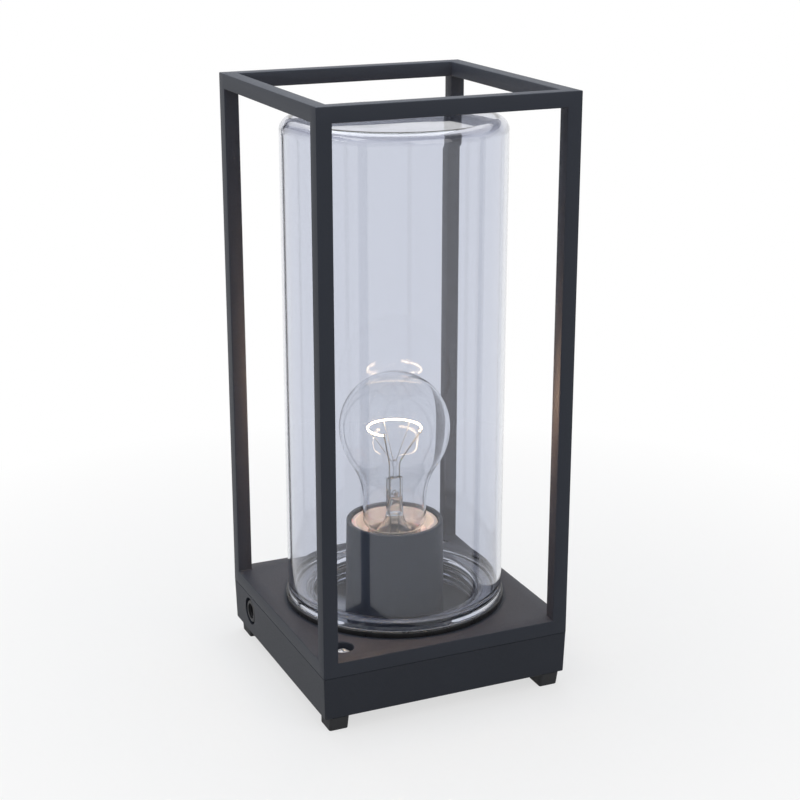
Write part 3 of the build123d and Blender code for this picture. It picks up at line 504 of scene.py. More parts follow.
# Cage and deck: four square bars on a thick plate, joined by four rails at the top, all welded,
# ground flush and coated as one, so no seam shows. The deck is bored for the collar and screws.
cage_half, cage_inner, cage_heights = 70.0, 62.0, (deck_low, deck_top, 313.0, 321.0)
cage_edge, deck_bore, cut_low, cut_high = 0.5, 51.5, deck_low - 1.0, deck_top + 1.0
recess_place, recess_radius, recess_floor, screw_hole = 53.0, 6.0, 35.0, 2.1
post_place, post_hole, post_hole_top = 66.0, 1.6, 51.1
collar_hole_place, collar_hole, collar_hole_top = 54.4, 1.6, 37.1


def cage_cell(column, row, level):
    """Whether a cell of the cage's grid is filled. Its levels are deck, posts and rails."""
    if not (0 <= column < 3 and 0 <= row < 3 and 0 <= level < 3):
        return False
    if level == 0:
        return True
    if level == 1:
        return column != 1 and row != 1
    return (column, row) != (1, 1)


cage_shape = bmesh.new()
cage_steps = (-cage_half, -cage_inner, cage_inner, cage_half)
cage_points = {}


def cage_point(place):
    """The corner at a place of the grid, made once."""
    if place not in cage_points:
        x, y, z = cage_steps[place[0]], cage_steps[place[1]], cage_heights[place[2]]
        cage_points[place] = cage_shape.verts.new((x * mm, y * mm, z * mm))
    return cage_points[place]


for cell in itertools.product(range(3), repeat=3):
    if not cage_cell(*cell):
        continue
    for axis, side in itertools.product(range(3), (0, 1)):
        beside = list(cell)
        beside[axis] += 2 * side - 1
        if cage_cell(*beside):
            continue
        first, second = [other for other in range(3) if other != axis]
        loop = []
        for along, across in ((0, 0), (1, 0), (1, 1), (0, 1)):
            place = list(cell)
            place[axis] += side
            place[first] += along
            place[second] += across
            loop.append(cage_point(tuple(place)))
        cage_shape.faces.new(loop)
bmesh.ops.recalc_face_normals(cage_shape, faces=cage_shape.faces)
cage_blank = placed("cage_blank", mesh_of(cage_shape, "cage_blank"))
cage_bevel = cage_blank.modifiers.new("edges", "BEVEL")
cage_bevel.width = cage_edge * mm
cage_bevel.segments = 3
cage_bevel.limit_method = "ANGLE"
cage_drills = bmesh.new()


def drill(outline, x, y, segments):
    """Adds a round cutter, turned from an outline, to the set that bores the deck."""
    cutter = turned("cutter", outline, segments)
    for point in cutter.vertices:
        point.co.x += x * mm
        point.co.y += y * mm
    cage_drills.from_mesh(cutter)
    bpy.data.meshes.remove(cutter)


bore_wide, recess_wide, post_mouth = deck_bore + 0.6, recess_radius + 0.5, 32.2
bore_mouth = [(deck_bore, deck_top - 0.3), (bore_wide, deck_top + 0.3), (bore_wide, cut_high)]
drill([(0, cut_low), (deck_bore, cut_low), *bore_mouth, (0, cut_high)], 0, 0, 192)
recess_outline = [
    (0, cut_low), (screw_hole, cut_low), (screw_hole, recess_floor), (recess_radius, recess_floor),
    (recess_radius, deck_top - 0.4), (recess_wide, deck_top + 0.1), (recess_wide, cut_high),
    (0, cut_high),
]
for side in (-1, 1):
    drill(recess_outline, side * recess_place, side * recess_place, 64)
post_outline = [(0, cut_low), (3.9, cut_low), (2.8, deck_low), (post_hole, post_mouth)]
post_outline += [(post_hole, post_hole_top), (0, post_hole_top)]
collar_cutter = [(0, cut_low), (collar_hole, cut_low)]
collar_cutter += [(collar_hole, collar_hole_top), (0, collar_hole_top)]
collar_hole_side = collar_hole_place * math.cos(math.radians(45))
for side_x, side_y in itertools.product((-1, 1), repeat=2):
    drill(post_outline, side_x * post_place, side_y * post_place, 24)
    drill(collar_cutter, side_x * collar_hole_side, side_y * collar_hole_side, 24)


def bored(blank, cutters, name, crease):
    """The mesh of a blank after its modifiers, with the cutters' shape taken out of it."""
    drill_set = placed("drills", cutters)
    bore = blank.modifiers.new("bores", "BOOLEAN")
    bore.operation = "DIFFERENCE"
    bore.solver = "EXACT"
    bore.object = drill_set
    bpy.context.view_layer.update()
    cut = bpy.data.meshes.new_from_object(blank.evaluated_get(bpy.context.evaluated_depsgraph_get()))
    for used in (blank, drill_set):
        bpy.data.objects.remove(used)
    shape = bmesh.new()
    shape.from_mesh(cut)
    bpy.data.meshes.remove(cut)
    bmesh.ops.dissolve_degenerate(shape, dist=0.002 * mm, edges=shape.edges)
    creased(shape, crease)
    return mesh_of(shape, name)


cage_done = bored(cage_blank, mesh_of(cage_drills, "drills"), "cage_and_deck", crease=35)
cage_coat = coated("cage_powder_coat", anthracite, anthracite_peak, grain_rate, grain_depth)
cage_posts = ["post_front_left", "post_front_right", "post_back_left", "post_back_right"]
cage_rails = ["top_rail_front", "top_rail_back", "top_rail_left", "top_rail_right"]
piece(cage_done, cage_coat, "base", "coated_metal", "deck", *cage_posts, *cage_rails)

# Jar gasket: flat black rubber ring on the deck, squeezed by the jar's foot. A raised lip round
# its edge keeps the rain out. A pale ring on its bearing face is a painted highlight.
jar_seat, gasket_inner, gasket_outer, gasket_bearing = 42.0, 49.2, 60.0, 41.9
gasket_start, glint_fades, glint_ends = (52.0, deck_top), 57.6, 58.8
gasket_outline = softened(
    [
        gasket_start, (gasket_outer, deck_top), (gasket_outer, jar_seat), (59.4, jar_seat),
        (59.1, gasket_bearing), (gasket_inner, gasket_bearing), (gasket_inner, deck_top), gasket_start,
    ],
    [0.4, 0.28, 0.1, 0.05, 0.3, 0.3], 5
)[:-1]
gasket_rubber = clouded(
    "gasket_rubber", (0.009, 0.009, 0.0095, 1), (0.013, 0.013, 0.014, 1), 140.0, 2200.0, (0.26, 0.34),
    {"Specular IOR Level": 0.5}, 0.00003
)
# Pale ring under the glass's outer edge: a painted highlight along the jar's lower edge.
glint_tree, glint_axes, glint_share = overlaid(gasket_rubber, (0.2, 0.21, 0.235, 1))
glint_band = range_at(glint_tree, (glint_fades * mm) ** 2, (glint_ends * mm) ** 2, 1.0, 0.0)
glint_tree.links.new(squared_out(glint_tree, glint_axes), glint_band.inputs["Value"])
glint_tree.links.new(glint_band.outputs["Result"], glint_share)
gasket_mesh = turned("jar_gasket_ring", gasket_outline, 256)
piece(gasket_mesh, gasket_rubber, "jar_seal", "seal_rubber", "jar_gasket")

# Holder sleeve: dark tapered tube round the porcelain, spun from sheet, with a smoother and paler
# coat than the cage. It stands on the collar's floor, held by the porcelain's two screws.
sleeve_floor, sleeve_top = 30.5, 83.5
sleeve_outline = softened(
    [
        (wire_hole, well_floor), (27.4, well_floor), (26.4, sleeve_top),
        (24.2, sleeve_top), (25.2, sleeve_floor), (wire_hole, sleeve_floor),
    ],
    [0.8, 0.8, 0.8, 0.8]
)
sleeve_coat = coated(
    "sleeve_coat", (0.04, 0.046, 0.0595, 1), (0.046, 0.053, 0.069, 1), 3200.0, 0.000012
)
piece(turned("sleeve_tube", sleeve_outline, 192), sleeve_coat, "base", "coated_metal", "holder_sleeve")

# Holder body: glazed white porcelain with a flared mouth, moulded hollow for the threaded shell.
# Its colour is painted warm, a painted glow of the bulb's light, and its glaze is uneven in tone.
porcelain_rim, mouth_low, shell_bore, shell_floor = 81.8, 76.5, 14.2, 45.5
porcelain_outline = softened(
    [
        (0, sleeve_floor), (24.1, sleeve_floor), (23.9, porcelain_rim), (21.4, porcelain_rim),
        (17.6, mouth_low), (shell_bore, mouth_low), (shell_bore, shell_floor), (0, shell_floor),
    ],
    [0.8, 0.9, 0.9, 0.8, 0.8, 0.1]
)
porcelain = clouded(
    "holder_porcelain", (0.55, 0.455, 0.41, 1), (0.66, 0.555, 0.5, 1), 70.0, 600.0, (0.1, 0.22),
    {"Specular IOR Level": 0.5, "Subsurface Weight": 0.08, "Subsurface Scale": 0.002}, 0.00003
)
piece(turned("porcelain_body", porcelain_outline, 192), porcelain, "base", "porcelain", "holder_body")

# Threaded shell: thin nickel-plated brass, rolled to a round thread and turned in at its foot.
# It is pressed into the porcelain.
shell_pitch, shell_outer, shell_inner, shell_lip = 3.629, 13.8, 13.6, 9.6
shell_low, shell_top, rolled_step = 46.0, 71.0, 0.3
shell_crest, shell_thread_low, shell_thread_high = 0.3, 47.0, 70.0


def shell_thread(radius, height, angle):
    if radius < shell_inner - 0.6:
        return 0
    return shell_crest * thread_wave(height, angle, shell_pitch, shell_thread_low, shell_thread_high)


shell_outline = [(shell_lip, shell_floor), (shell_outer, shell_floor)]
shell_outline += finely((shell_outer, shell_low), (shell_outer, shell_top), rolled_step)
shell_outline += finely((shell_inner, shell_top), (shell_inner, shell_low), rolled_step)
shell_outline += [(shell_lip, shell_low)]
nickel = metal("shell_nickel", (0.6, 0.55, 0.45, 1), (0.74, 0.7, 0.6, 1), 800.0, (0.18, 0.32))
shell_mesh = turned("rolled_shell", shell_outline, 128, shell_thread)
piece(shell_mesh, nickel, "base", "plated_brass", "screw_shell")

# Bulb cap: thin aluminium shell with a rolled round thread, drawn in below over the black glass
# insulator. The solder tip under it turns against the holder's centre contact.
cap_outer, cap_inner, cap_low, cap_top = 13.2, 12.8, 57.0, 75.0
cap_groove, groove_low, groove_high, cap_thread_low, cap_thread_high = 0.5, 57.4, 69.0, 56.5, 70.0


def cap_thread(radius, height, angle):
    if radius < cap_inner - 0.3 or not groove_low < height < groove_high:
        return 0
    stand = thread_wave(height, angle, shell_pitch, cap_thread_low, cap_thread_high)
    return -cap_groove * (1 - stand)


cap_outline = [(8.71, 53.6)]
cap_outline += finely((cap_outer, cap_low), (cap_outer, cap_top), rolled_step)
cap_outline += finely((cap_inner, cap_top), (cap_inner, cap_low), rolled_step)
cap_outline += [(8.31, 54.0)]
cap_metal = metal("cap_aluminium", (0.66, 0.65, 0.63, 1), (0.82, 0.81, 0.79, 1), 900.0, (0.2, 0.36))
piece(turned("rolled_cap", cap_outline, 128, cap_thread), cap_metal, "bulb", "cap_metal", "bulb_cap")
insulator_glass = clouded(
    "insulator_glass", (0.008, 0.008, 0.01, 1), (0.02, 0.018, 0.022, 1), 260.0, 900.0, (0.08, 0.16),
    {}, 0.00004
)
dress(insulator_glass, "cap_insulator")
solder = metal("tip_solder", (0.5, 0.5, 0.52, 1), (0.7, 0.7, 0.72, 1), 500.0, (0.26, 0.44))
dress(solder, "cap_tip")

# Stem: a drawn glass mount sealed in the bulb's neck and pinched flat round the lead wires. An
# eye is pierced through the press, and the arbor above it ends in a button.
glass_waves, waves_in, waves_out = finish_group(
    "glass_waves",
    {
        "Tint": (0.9, 0.92, 0.94, 1), "Clear": (0.96, 0.97, 0.98, 1),
        "Waves per metre": 40.0, "Drawn out": 0.15,
    },
    ["Color", "Height", "Roughness"],
)
waves_place = place_in(glass_waves)
waves_axes = node_at(glass_waves, "ShaderNodeSeparateXYZ")
waves_drawn = math_at(glass_waves, "MULTIPLY")
waves_join = node_at(glass_waves, "ShaderNodeCombineXYZ")
waves_noise = node_at(glass_waves, "ShaderNodeTexNoise", values={"Detail": 1.0, "Roughness": 0.4})
waves_rough = range_at(glass_waves, 0.3, 0.7, 0.0, 0.02)
waves_color = blended(
    glass_waves, waves_noise.outputs["Fac"], waves_in.outputs["Tint"], waves_in.outputs["Clear"]
)
joined(
    glass_waves,
    (waves_place, waves_axes.inputs["Vector"]),
    (waves_axes.outputs["Z"], waves_drawn.inputs[0]),
    (waves_in.outputs["Drawn out"], waves_drawn.inputs[1]),
    (waves_axes.outputs["X"], waves_join.inputs["X"]),
    (waves_axes.outputs["Y"], waves_join.inputs["Y"]),
    (waves_drawn.outputs[0], waves_join.inputs["Z"]),
    (waves_join.outputs["Vector"], waves_noise.inputs["Vector"]),
    (waves_in.outputs["Waves per metre"], waves_noise.inputs["Scale"]),
    (waves_noise.outputs["Fac"], waves_rough.inputs["Value"]),
    (waves_color, waves_out.inputs["Color"]),
    (waves_noise.outputs["Fac"], waves_out.inputs["Height"]),
    (waves_rough.outputs["Result"], waves_out.inputs["Roughness"]),
)


def clear_glass(name, tint, clear, waves, drawn, depth, shade):
    """Clear blown glass: bends what is behind it, and lets lamps shine through onto what it covers."""
    made, tree, shader = finish_material(name, {"IOR": 1.5, "Transmission Weight": 1.0})
    flow = {"Waves per metre": waves, "Drawn out": drawn}
    wave = group_in(tree, glass_waves, {"Tint": tint, "Clear": clear, **flow})
    raised(tree, shader, wave.outputs["Height"], 0.3, depth)
    path = node_at(tree, "ShaderNodeLightPath")
    through = node_at(tree, "ShaderNodeBsdfTransparent", values={"Color": shade})
    choice = node_at(tree, "ShaderNodeMixShader")
    out = node_of(tree, "OUTPUT_MATERIAL")
    joined(
        tree,
        (wave.outputs["Color"], shader.inputs["Base Color"]),
        (wave.outputs["Roughness"], shader.inputs["Roughness"]),
        (path.outputs["Is Shadow Ray"], choice.inputs["Fac"]),
        (shader.outputs["BSDF"], choice.inputs[1]),
        (through.outputs["BSDF"], choice.inputs[2]),
        (choice.outputs["Shader"], out.inputs["Surface"]),
    )
    return made


stem_foot, stem_neck, press_top, arbor_top = 69.5, 87.5, 107.5, 115.5
flare_radius, limb_radius, press_half, stem_wall = 11.7, 4.8, 2.1, 0.9
arbor_radius, button_radius, eye_height, eye_radius, eye_lip = 1.1, 1.9, 98.5, 1.2, 1.0
stem_step, press_shoulder, pinch_height = 0.8, 1.2, 9.0
flare_steps, button_steps, eye_steps = 14, 12, 12


def drawn_in(upper, lower, steps):
    """Two equal arcs that lead from one upright place of an outline to another."""
    aside, down = (upper[0] - lower[0]) / 2, (upper[1] - lower[1]) / 2
    bend = (aside * aside + down * down) / (2 * aside)
    reach = math.asin(down / bend)
    swings = [reach * step / steps for step in range(steps + 1)]
    arcs = [(upper[0] - bend * (1 - math.cos(a)), upper[1] - bend * math.sin(a)) for a in swings]
    for a in swings[-2::-1]:
        arcs.append((lower[0] + bend * (1 - math.cos(a)), lower[1] + bend * math.sin(a)))
    return arcs


def eased(share):
    """0 to 1 with a soft start and end."""
    share = min(1.0, max(0.0, share))
    return share * share * (3 - 2 * share)


stem_outline = drawn_in((limb_radius, stem_neck), (flare_radius, stem_foot), flare_steps)[::-1]
press_side = (limb_radius, press_top - press_shoulder)
stem_outline += finely((limb_radius, stem_neck + stem_step), press_side, stem_step)
stem_outline += softened([press_side, (limb_radius, press_top), (arbor_radius, press_top)], [1.1])[1:]
stem_outline += finely((arbor_radius, press_top + 0.6), (arbor_radius, arbor_top - 1.8), stem_step)
for step in range(1, button_steps + 1):
    angle = math.pi * (1 - step / button_steps)
    out = button_radius * math.sin(angle)
    if out > arbor_radius * 1.05 or step > button_steps / 2:
        stem_outline.append((max(0.0, out), arbor_top - button_radius * math.cos(math.pi - angle)))
stem_outline[-1] = (0.0, arbor_top + button_radius)
limb_inner, flare_inner = limb_radius - stem_wall, flare_radius - stem_wall
stem_outline += [(0.0, stem_neck), (limb_inner - 1.2, stem_neck - 0.6)]
stem_outline += drawn_in((limb_inner, stem_neck - 2.0), (flare_inner, stem_foot), flare_steps)
stem_blank = placed("stem_blank", turned("stem_blank", stem_outline, 96))
for point in stem_blank.data.vertices:
    height, out = point.co.z / mm, math.hypot(point.co.x, point.co.y) / mm
    if stem_neck < height <= press_top + 0.01 and out > arbor_radius * 1.01:
        point.co.y *= 1 + (press_half / limb_radius - 1) * eased((height - stem_neck) / pinch_height)
eye_wide, eye_face, cutter_reach = eye_radius + eye_lip + 0.1, press_half + 0.05, 6.0
eye_outline = [(0, -cutter_reach), (eye_wide, -cutter_reach), (eye_wide, -eye_face)]
for step in range(eye_steps + 1):
    angle = math.pi / 2 * step / eye_steps
    out = eye_radius + eye_lip * (1 - math.sin(angle))
    eye_outline.append((out, -eye_face + eye_lip * (1 - math.cos(angle))))
eye_outline += [(r, -a) for r, a in reversed(eye_outline[1:])] + [(0, cutter_reach)]
eye_cutter = turned("eye_cutter", eye_outline, 48)
for point in eye_cutter.vertices:
    point.co = Vector((point.co.x, point.co.z, point.co.y + eye_height * mm))
eye_cutter.flip_normals()
stem_glass = clear_glass(
    "stem_glass", (0.93, 0.95, 0.95, 1), (0.98, 0.98, 0.98, 1), 160.0, 0.3, 0.0003, (0.9, 0.9, 0.9, 1)
)
piece(bored(stem_blank, eye_cutter, "stem_mount", crease=40), stem_glass, "bulb", "bulb_glass", "stem")

# Filament: tungsten wire wound into a fine coil, held in an open ring round the arbor with the
# gap to the front. It glows, a little redder in places.
coil_ring, coil_height, coil_start, coil_sweep = 14.5, 135.5, -45.0, 270.0
coil_radius, coil_turns, coil_steps, coil_wire = 0.36, 190, 10, 0.13


def wires(name, paths, thick, sides):
    """A mesh of round wires, each drawn along its own list of points in millimetres."""
    shape = bmesh.new()
    for points in paths:
        rings = []
        across = Vector((0.31, 0.17, 0.93))
        for index, here in enumerate(points):
            ahead = (points[min(index + 1, len(points) - 1)] - points[max(index - 1, 0)]).normalized()
            across = (across - ahead * across.dot(ahead)).normalized()
            above = ahead.cross(across)
            ring = []
            for corner in range(sides):
                angle = 2 * math.pi * corner / sides
                aside = (across * math.cos(angle) + above * math.sin(angle)) * thick
                ring.append(shape.verts.new((here + aside) * mm))
            rings.append(ring)
        for lower, upper in zip(rings, rings[1:]):
            for corner in range(sides):
                after = (corner + 1) % sides
                strip = (lower[corner], lower[after], upper[after], upper[corner])
                shape.faces.new(strip).smooth = True
        shape.faces.new(rings[0][::-1])
        shape.faces.new(rings[-1])
    bmesh.ops.recalc_face_normals(shape, faces=shape.faces)
    return mesh_of(shape, name)


coil_points = []
coil_count = coil_turns * coil_steps
for index in range(coil_count + 1):
    around = math.radians(coil_start + coil_sweep * index / coil_count)
    wind = 2 * math.pi * coil_turns * index / coil_count
    outward = coil_ring + coil_radius * math.cos(wind)
    rise = coil_height + coil_radius * math.sin(wind)
    coil_points.append(Vector((outward * math.cos(around), outward * math.sin(around), rise)))
tungsten, tungsten_tree, tungsten_shader = finish_material(
    "glowing_tungsten",
    {"Metallic": 1.0, "Roughness": 0.4, "Base Color": (0.5, 0.45, 0.4, 1), "Emission Strength": 190.0},
)
tungsten_place = place_in(tungsten_tree)
tungsten_noise = node_at(tungsten_tree, "ShaderNodeTexNoise", values={"Scale": 90.0, "Detail": 1.0})
tungsten_ramp = ramp_at(tungsten_tree, (0.0, (1.0, 0.66, 0.34, 1)), (1.0, (1.0, 0.8, 0.52, 1)))
tungsten_tree.links.new(tungsten_place, tungsten_noise.inputs["Vector"])
tungsten_tree.links.new(tungsten_noise.outputs["Fac"], tungsten_ramp.inputs["Fac"])
tungsten_tree.links.new(tungsten_ramp.outputs["Color"], tungsten_shader.inputs["Emission Color"])
piece(wires("tungsten_coil", [coil_points], coil_wire, 6), tungsten, "bulb", "tungsten", "filament")

# Lead and support wires: nickel wire. The leads come up through the press and are clamped round
# the filament's ends, and three finer wires from the button hold it in small hooks.
wire_nickel = metal("wire_nickel", (0.5, 0.48, 0.45, 1), (0.66, 0.64, 0.6, 1), 1500.0, (0.22, 0.36))
lead_thick, lead_spread, lead_bend, knee_height = 0.42, 3.0, 2.6, 115.75
support_thick, lead_hook, support_hook = 0.2, 250.0, 290.0


def bent(points, reach, steps=8):
    """A path whose inner corners are bent over a reach each way."""
    path = [points[0]]
    for before, corner, after in zip(points, points[1:], points[2:]):
        start = corner + (before - corner).normalized() * reach
        end = corner + (after - corner).normalized() * reach
        for step in range(steps + 1):
            share = step / steps
            path.append(start.lerp(corner, share).lerp(corner.lerp(end, share), share))
    return path + [points[-1]]


def heading(bearing):
    """The level direction at a bearing in degrees."""
    return Vector((math.cos(math.radians(bearing)), math.sin(math.radians(bearing)), 0))


def hooked(bearing, thick, sweep, steps=18):
    """A hook round the coil at a bearing in degrees, from below it, out and over."""
    outward, upward = heading(bearing), Vector((0, 0, 1))
    middle = outward * coil_ring + upward * coil_height
    reach = coil_radius + coil_wire + thick
    hook = []
    for step in range(steps + 1):
        turn = math.radians(-90.0 + sweep * step / steps)
        hook.append(middle + (outward * math.cos(turn) + upward * math.sin(turn)) * reach)
    return hook


lead_paths = []
for side, bearing in ((1, coil_start), (-1, coil_start + coil_sweep)):
    hook = hooked(bearing, lead_thick, lead_hook)
    climb = [
        Vector((side * 2.2, 0, stem_foot + 1.5)), Vector((side * 2.4, 0, stem_neck)),
        Vector((side * lead_spread, 0, eye_height)), Vector((side * lead_spread, 0, knee_height)),
        hook[0],
    ]
    lead_paths.append(bent(climb, lead_bend) + hook[1:])
piece(wires("lead_pair", lead_paths, lead_thick, 10), wire_nickel, "bulb", "wire_metal", "lead_wires")
support_paths = []
for bearing in (30.0, 90.0, 150.0):
    root = heading(bearing) * 1.2 + Vector((0, 0, arbor_top + 0.3))
    support_paths.append([root] + hooked(bearing, support_thick, support_hook))
support_mesh = wires("support_hooks", support_paths, support_thick, 8)
piece(support_mesh, wire_nickel, "bulb", "wire_metal", "support_wires")

# Bulb glass: thin clear envelope, blown round above and drawn in to the neck, where it is
# cemented into the cap. It is a closed shell, so it bends light twice at each wall.
bulb_wall, bulb_middle, bulb_wide, bulb_neck, bulb_crimp = 0.7, 136.5, 30.0, 17.3, 12.7
bulb_neck_top, bulb_neck_foot, dome_steps, shoulder_steps, crimp_steps = 95.0, 84.0, 40, 24, 10


def envelope_side(inset):
    """One side of the envelope's outline, from its summit down into the cap."""
    wide, neck, crimp = bulb_wide - inset, bulb_neck - inset, bulb_crimp - inset
    side = [(0, bulb_middle + wide)]
    for step in range(1, dome_steps + 1):
        angle = math.pi / 2 * step / dome_steps
        side.append((wide * math.sin(angle), bulb_middle + wide * math.cos(angle)))
    side += drawn_in((wide, bulb_middle), (neck, bulb_neck_top), shoulder_steps)[1:]
    side += drawn_in((neck, bulb_neck_foot), (crimp, cap_top + inset), crimp_steps)
    return side + [(crimp, stem_foot)]


envelope_outline = envelope_side(0) + envelope_side(bulb_wall)[::-1]
envelope_glass = clear_glass(
    "envelope_glass", (0.94, 0.95, 0.96, 1), (0.985, 0.985, 0.985, 1), 45.0, 0.6, 0.0012,
    (0.94, 0.94, 0.94, 1)
)
piece(turned("envelope", envelope_outline, 160), envelope_glass, "bulb", "bulb_glass", "bulb_glass")

# Jar: heavy clear pressed glass with a flat crown, a thick foot and a narrower neck with a
# moulded screw thread. It closes over the bulb and seals on the gasket when it is screwed down.
jar_outer, jar_inner, jar_top, crown_under, foot_top = 59.0, 56.8, 303.4, 301.0, 45.0
neck_outer, neck_root, neck_inner, neck_low = 48.0, 46.9, 45.0, 29.0
neck_groove_low, neck_groove_high, neck_thread_low, neck_thread_high = 30.0, 40.3, 30.2, 39.0
jar_rounds, crown_low, crown_high = [6.5, 2.0, 0.8, 0.8, 0.8, 1.3, 5.5, 5.4], 296.5, 300.5


def neck_thread(radius, height, angle):
    if abs(radius - neck_outer) > 0.02 or not neck_groove_low < height < neck_groove_high:
        return 0
    stand = thread_wave(height, angle, collar_pitch, neck_thread_low, neck_thread_high)
    return (neck_root - neck_outer) * (1 - stand)


jar_outline = softened(
    [
        (0, jar_top), (jar_outer, jar_top), (jar_outer, jar_seat), (neck_outer, jar_seat),
        (neck_outer, neck_low), (neck_inner, neck_low), (neck_inner, foot_top), (jar_inner, foot_top),
        (jar_inner, crown_under), (0, crown_under),
    ],
    jar_rounds, 12
)
neck_side = [i for i, p in enumerate(jar_outline) if abs(p[0] - neck_outer) < 1e-6]
neck_first = next(i for i in neck_side if jar_outline[i][1] < jar_seat - 0.5)
neck_last = neck_side[-1]
jar_outline = (
    jar_outline[:neck_first]
    + finely(jar_outline[neck_first], jar_outline[neck_last], thread_step)
    + jar_outline[neck_last + 1:]
)
jar_glass = clear_glass(
    "jar_glass", (0.742, 0.762, 0.826, 1), (0.776, 0.796, 0.85, 1), 26.0, 0.06, 0.0005,
    (0.86, 0.87, 0.89, 1)
)
# The crown is painted greyer towards its top: painted shade in the thick glass.
crown_tree, crown_axes, crown_shade_share = overlaid(jar_glass, (0.84, 0.84, 0.87, 1), "MULTIPLY")
crown_shade_mask = range_at(crown_tree, crown_low * mm, crown_high * mm, 0.0, 1.0)
crown_tree.links.new(crown_axes["Z"], crown_shade_mask.inputs["Value"])
crown_tree.links.new(crown_shade_mask.outputs["Result"], crown_shade_share)
piece(turned("screw_jar", jar_outline, 256, neck_thread), jar_glass, "jar", "jar_glass", "jar")

# Studio: a plain pale floor that takes a soft shadow, a white surround, three soft lamps, a small
# warm one at the filament for the coat around it, and the camera at the photograph's angle.
white = {"Color": (1, 1, 1, 1), "Strength": 1.0}
floor_mesh = bpy.data.meshes.new("floor")
floor_mesh.from_pydata([(-8, -8, 0), (8, -8, 0), (8, 8, 0), (-8, 8, 0)], [], [(0, 1, 2, 3)])
floor = placed("floor", floor_mesh)
floor_paint, floor_tree, floor_shader = finish_material(
    "floor_paint", {"Roughness": 0.9, "Specular IOR Level": 0.1}
)
floor_noise = node_at(floor_tree, "ShaderNodeTexNoise", values={"Scale": 3.0, "Detail": 2.0})
floor_tone = ramp_at(floor_tree, (0.0, (0.6, 0.6, 0.6, 1)), (1.0, (0.64, 0.64, 0.64, 1)))
floor_tree.links.new(floor_noise.outputs["Fac"], floor_tone.inputs["Fac"])
floor_tree.links.new(floor_tone.outputs["Color"], floor_shader.inputs["Base Color"])


def seen(tree):
    """1 for what the camera sees, also in a reflection or through glass, and 0 for lighting."""
    path = node_at(tree, "ShaderNodeLightPath")
    first = math_at(tree, "MAXIMUM")
    both = math_at(tree, "MAXIMUM")
    joined(
        tree,
        (path.outputs["Is Camera Ray"], first.inputs[0]),
        (path.outputs["Is Glossy Ray"], first.inputs[1]),
        (first.outputs[0], both.inputs[0]),
        (path.outputs["Is Transmission Ray"], both.inputs[1]),
    )
    return both.outputs[0]


floor_place = place_in(floor_tree)
floor_far = node_at(floor_tree, "ShaderNodeVectorMath", {"operation": "LENGTH"})
floor_share = range_at(floor_tree, 0.08, 0.42, 0.66, 1.0)
floor_white = node_at(floor_tree, "ShaderNodeEmission", values=white)
floor_seen = math_at(floor_tree, "MULTIPLY")
floor_mix = node_at(floor_tree, "ShaderNodeMixShader")
floor_out = node_of(floor_tree, "OUTPUT_MATERIAL")
joined(
    floor_tree,
    (floor_place, floor_far.inputs[0]),
    (floor_far.outputs["Value"], floor_share.inputs["Value"]),
    (floor_share.outputs["Result"], floor_seen.inputs[0]),
    (seen(floor_tree), floor_seen.inputs[1]),
    (floor_seen.outputs[0], floor_mix.inputs["Fac"]),
    (floor_shader.outputs["BSDF"], floor_mix.inputs[1]),
    (floor_white.outputs["Emission"], floor_mix.inputs[2]),
    (floor_mix.outputs["Shader"], floor_out.inputs["Surface"]),
)
floor_mesh.materials.append(floor_paint)

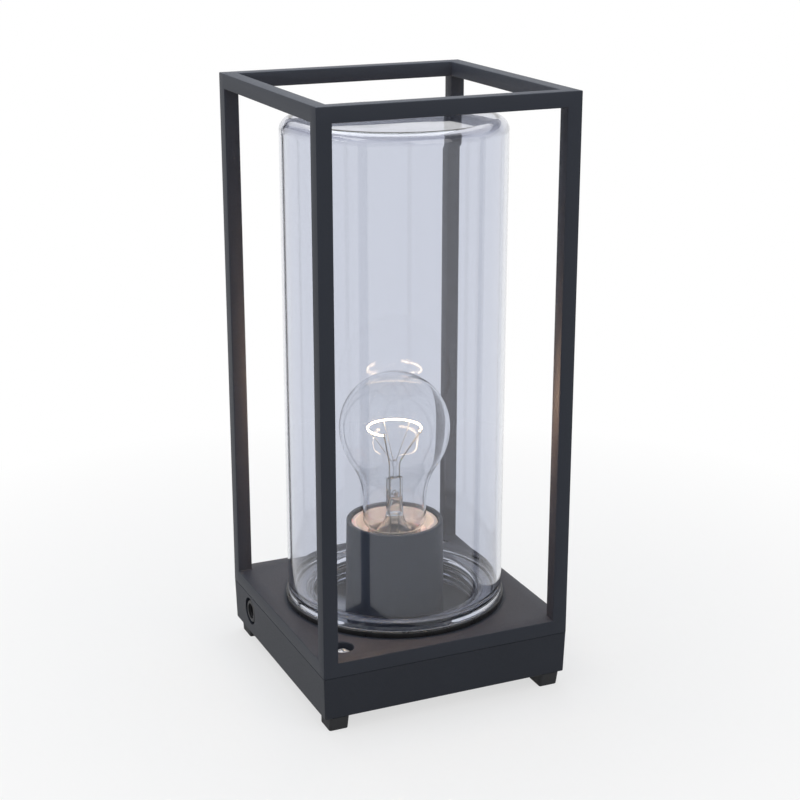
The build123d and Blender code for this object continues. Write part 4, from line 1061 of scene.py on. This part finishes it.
world = bpy.data.worlds.new("studio")
bpy.context.scene.world = world
world.use_nodes = True
world_tree = world.node_tree
world_out = node_of(world_tree, "OUTPUT_WORLD")
world_soft = filled(node_of(world_tree, "BACKGROUND"), {**white, "Strength": 0.42})
world_white = node_at(world_tree, "ShaderNodeBackground", values=white)
world_mix = node_at(world_tree, "ShaderNodeMixShader")
joined(
    world_tree,
    (seen(world_tree), world_mix.inputs["Fac"]),
    (world_soft.outputs["Background"], world_mix.inputs[1]),
    (world_white.outputs["Background"], world_mix.inputs[2]),
    (world_mix.outputs["Shader"], world_out.inputs["Surface"]),
)


def softbox(name, place, aim, size, watts, color):
    """A square area lamp that lights the object but isn't seen itself."""
    lamp = bpy.data.lights.new(name, "AREA")
    lamp.color = color
    lamp.shape = "SQUARE"
    lamp.size = size
    lamp.energy = watts
    made = placed(name, lamp)
    made.location = place
    made.rotation_mode = "QUATERNION"
    made.rotation_quaternion = (Vector(aim) - Vector(place)).to_track_quat("-Z", "Y")
    made.visible_camera = False
    made.visible_transmission = False


softbox("left_softbox", (-0.6, -0.05, 0.8), (0, 0, 0.26), 0.45, 2.6, (0.95, 0.97, 1.0))
softbox("top_softbox", (0.03, 0.16, 0.74), (0, 0, 0.3), 0.45, 2.6, (0.84, 0.91, 1.0))
softbox("front_softbox", (0.2, -0.72, 0.78), (0, 0, 0.3), 0.6, 2.4, (0.95, 0.97, 1.0))
bulb_lamp = bpy.data.lights.new("filament_light", "POINT")
bulb_lamp.color = (1.0, 0.6, 0.39)
bulb_lamp.energy = 0.6
bulb_lamp.shadow_soft_size = 0.012
bulb_light = placed("filament_light", bulb_lamp)
bulb_light.location = (0, 0, coil_height * mm)
bulb_light.visible_camera = False
bulb_light.visible_transmission = False
warmed = bpy.data.collections.new("warmed_by_the_bulb")
for name in ("cage_and_deck", "threaded_collar"):
    warmed.objects.link(bpy.data.objects[name])
bulb_light.light_linking.receiver_collection = warmed

camera_data = bpy.data.cameras.new("camera")
camera_data.sensor_width = 36.0
camera_data.lens = 78.22
camera = placed("camera", camera_data)
camera_turn, camera_lift = math.radians(-23.996), math.radians(17.808)
camera.location = (-0.35868, -0.81317, 0.4365)
camera_back = Vector((
    math.sin(camera_turn) * math.cos(camera_lift),
    -math.cos(camera_turn) * math.cos(camera_lift),
    math.sin(camera_lift),
))
camera.rotation_mode = "QUATERNION"
camera.rotation_quaternion = (-camera_back).to_track_quat("-Z", "Y")
bpy.context.scene.camera = camera
bpy.context.scene.view_settings.view_transform = "Standard"
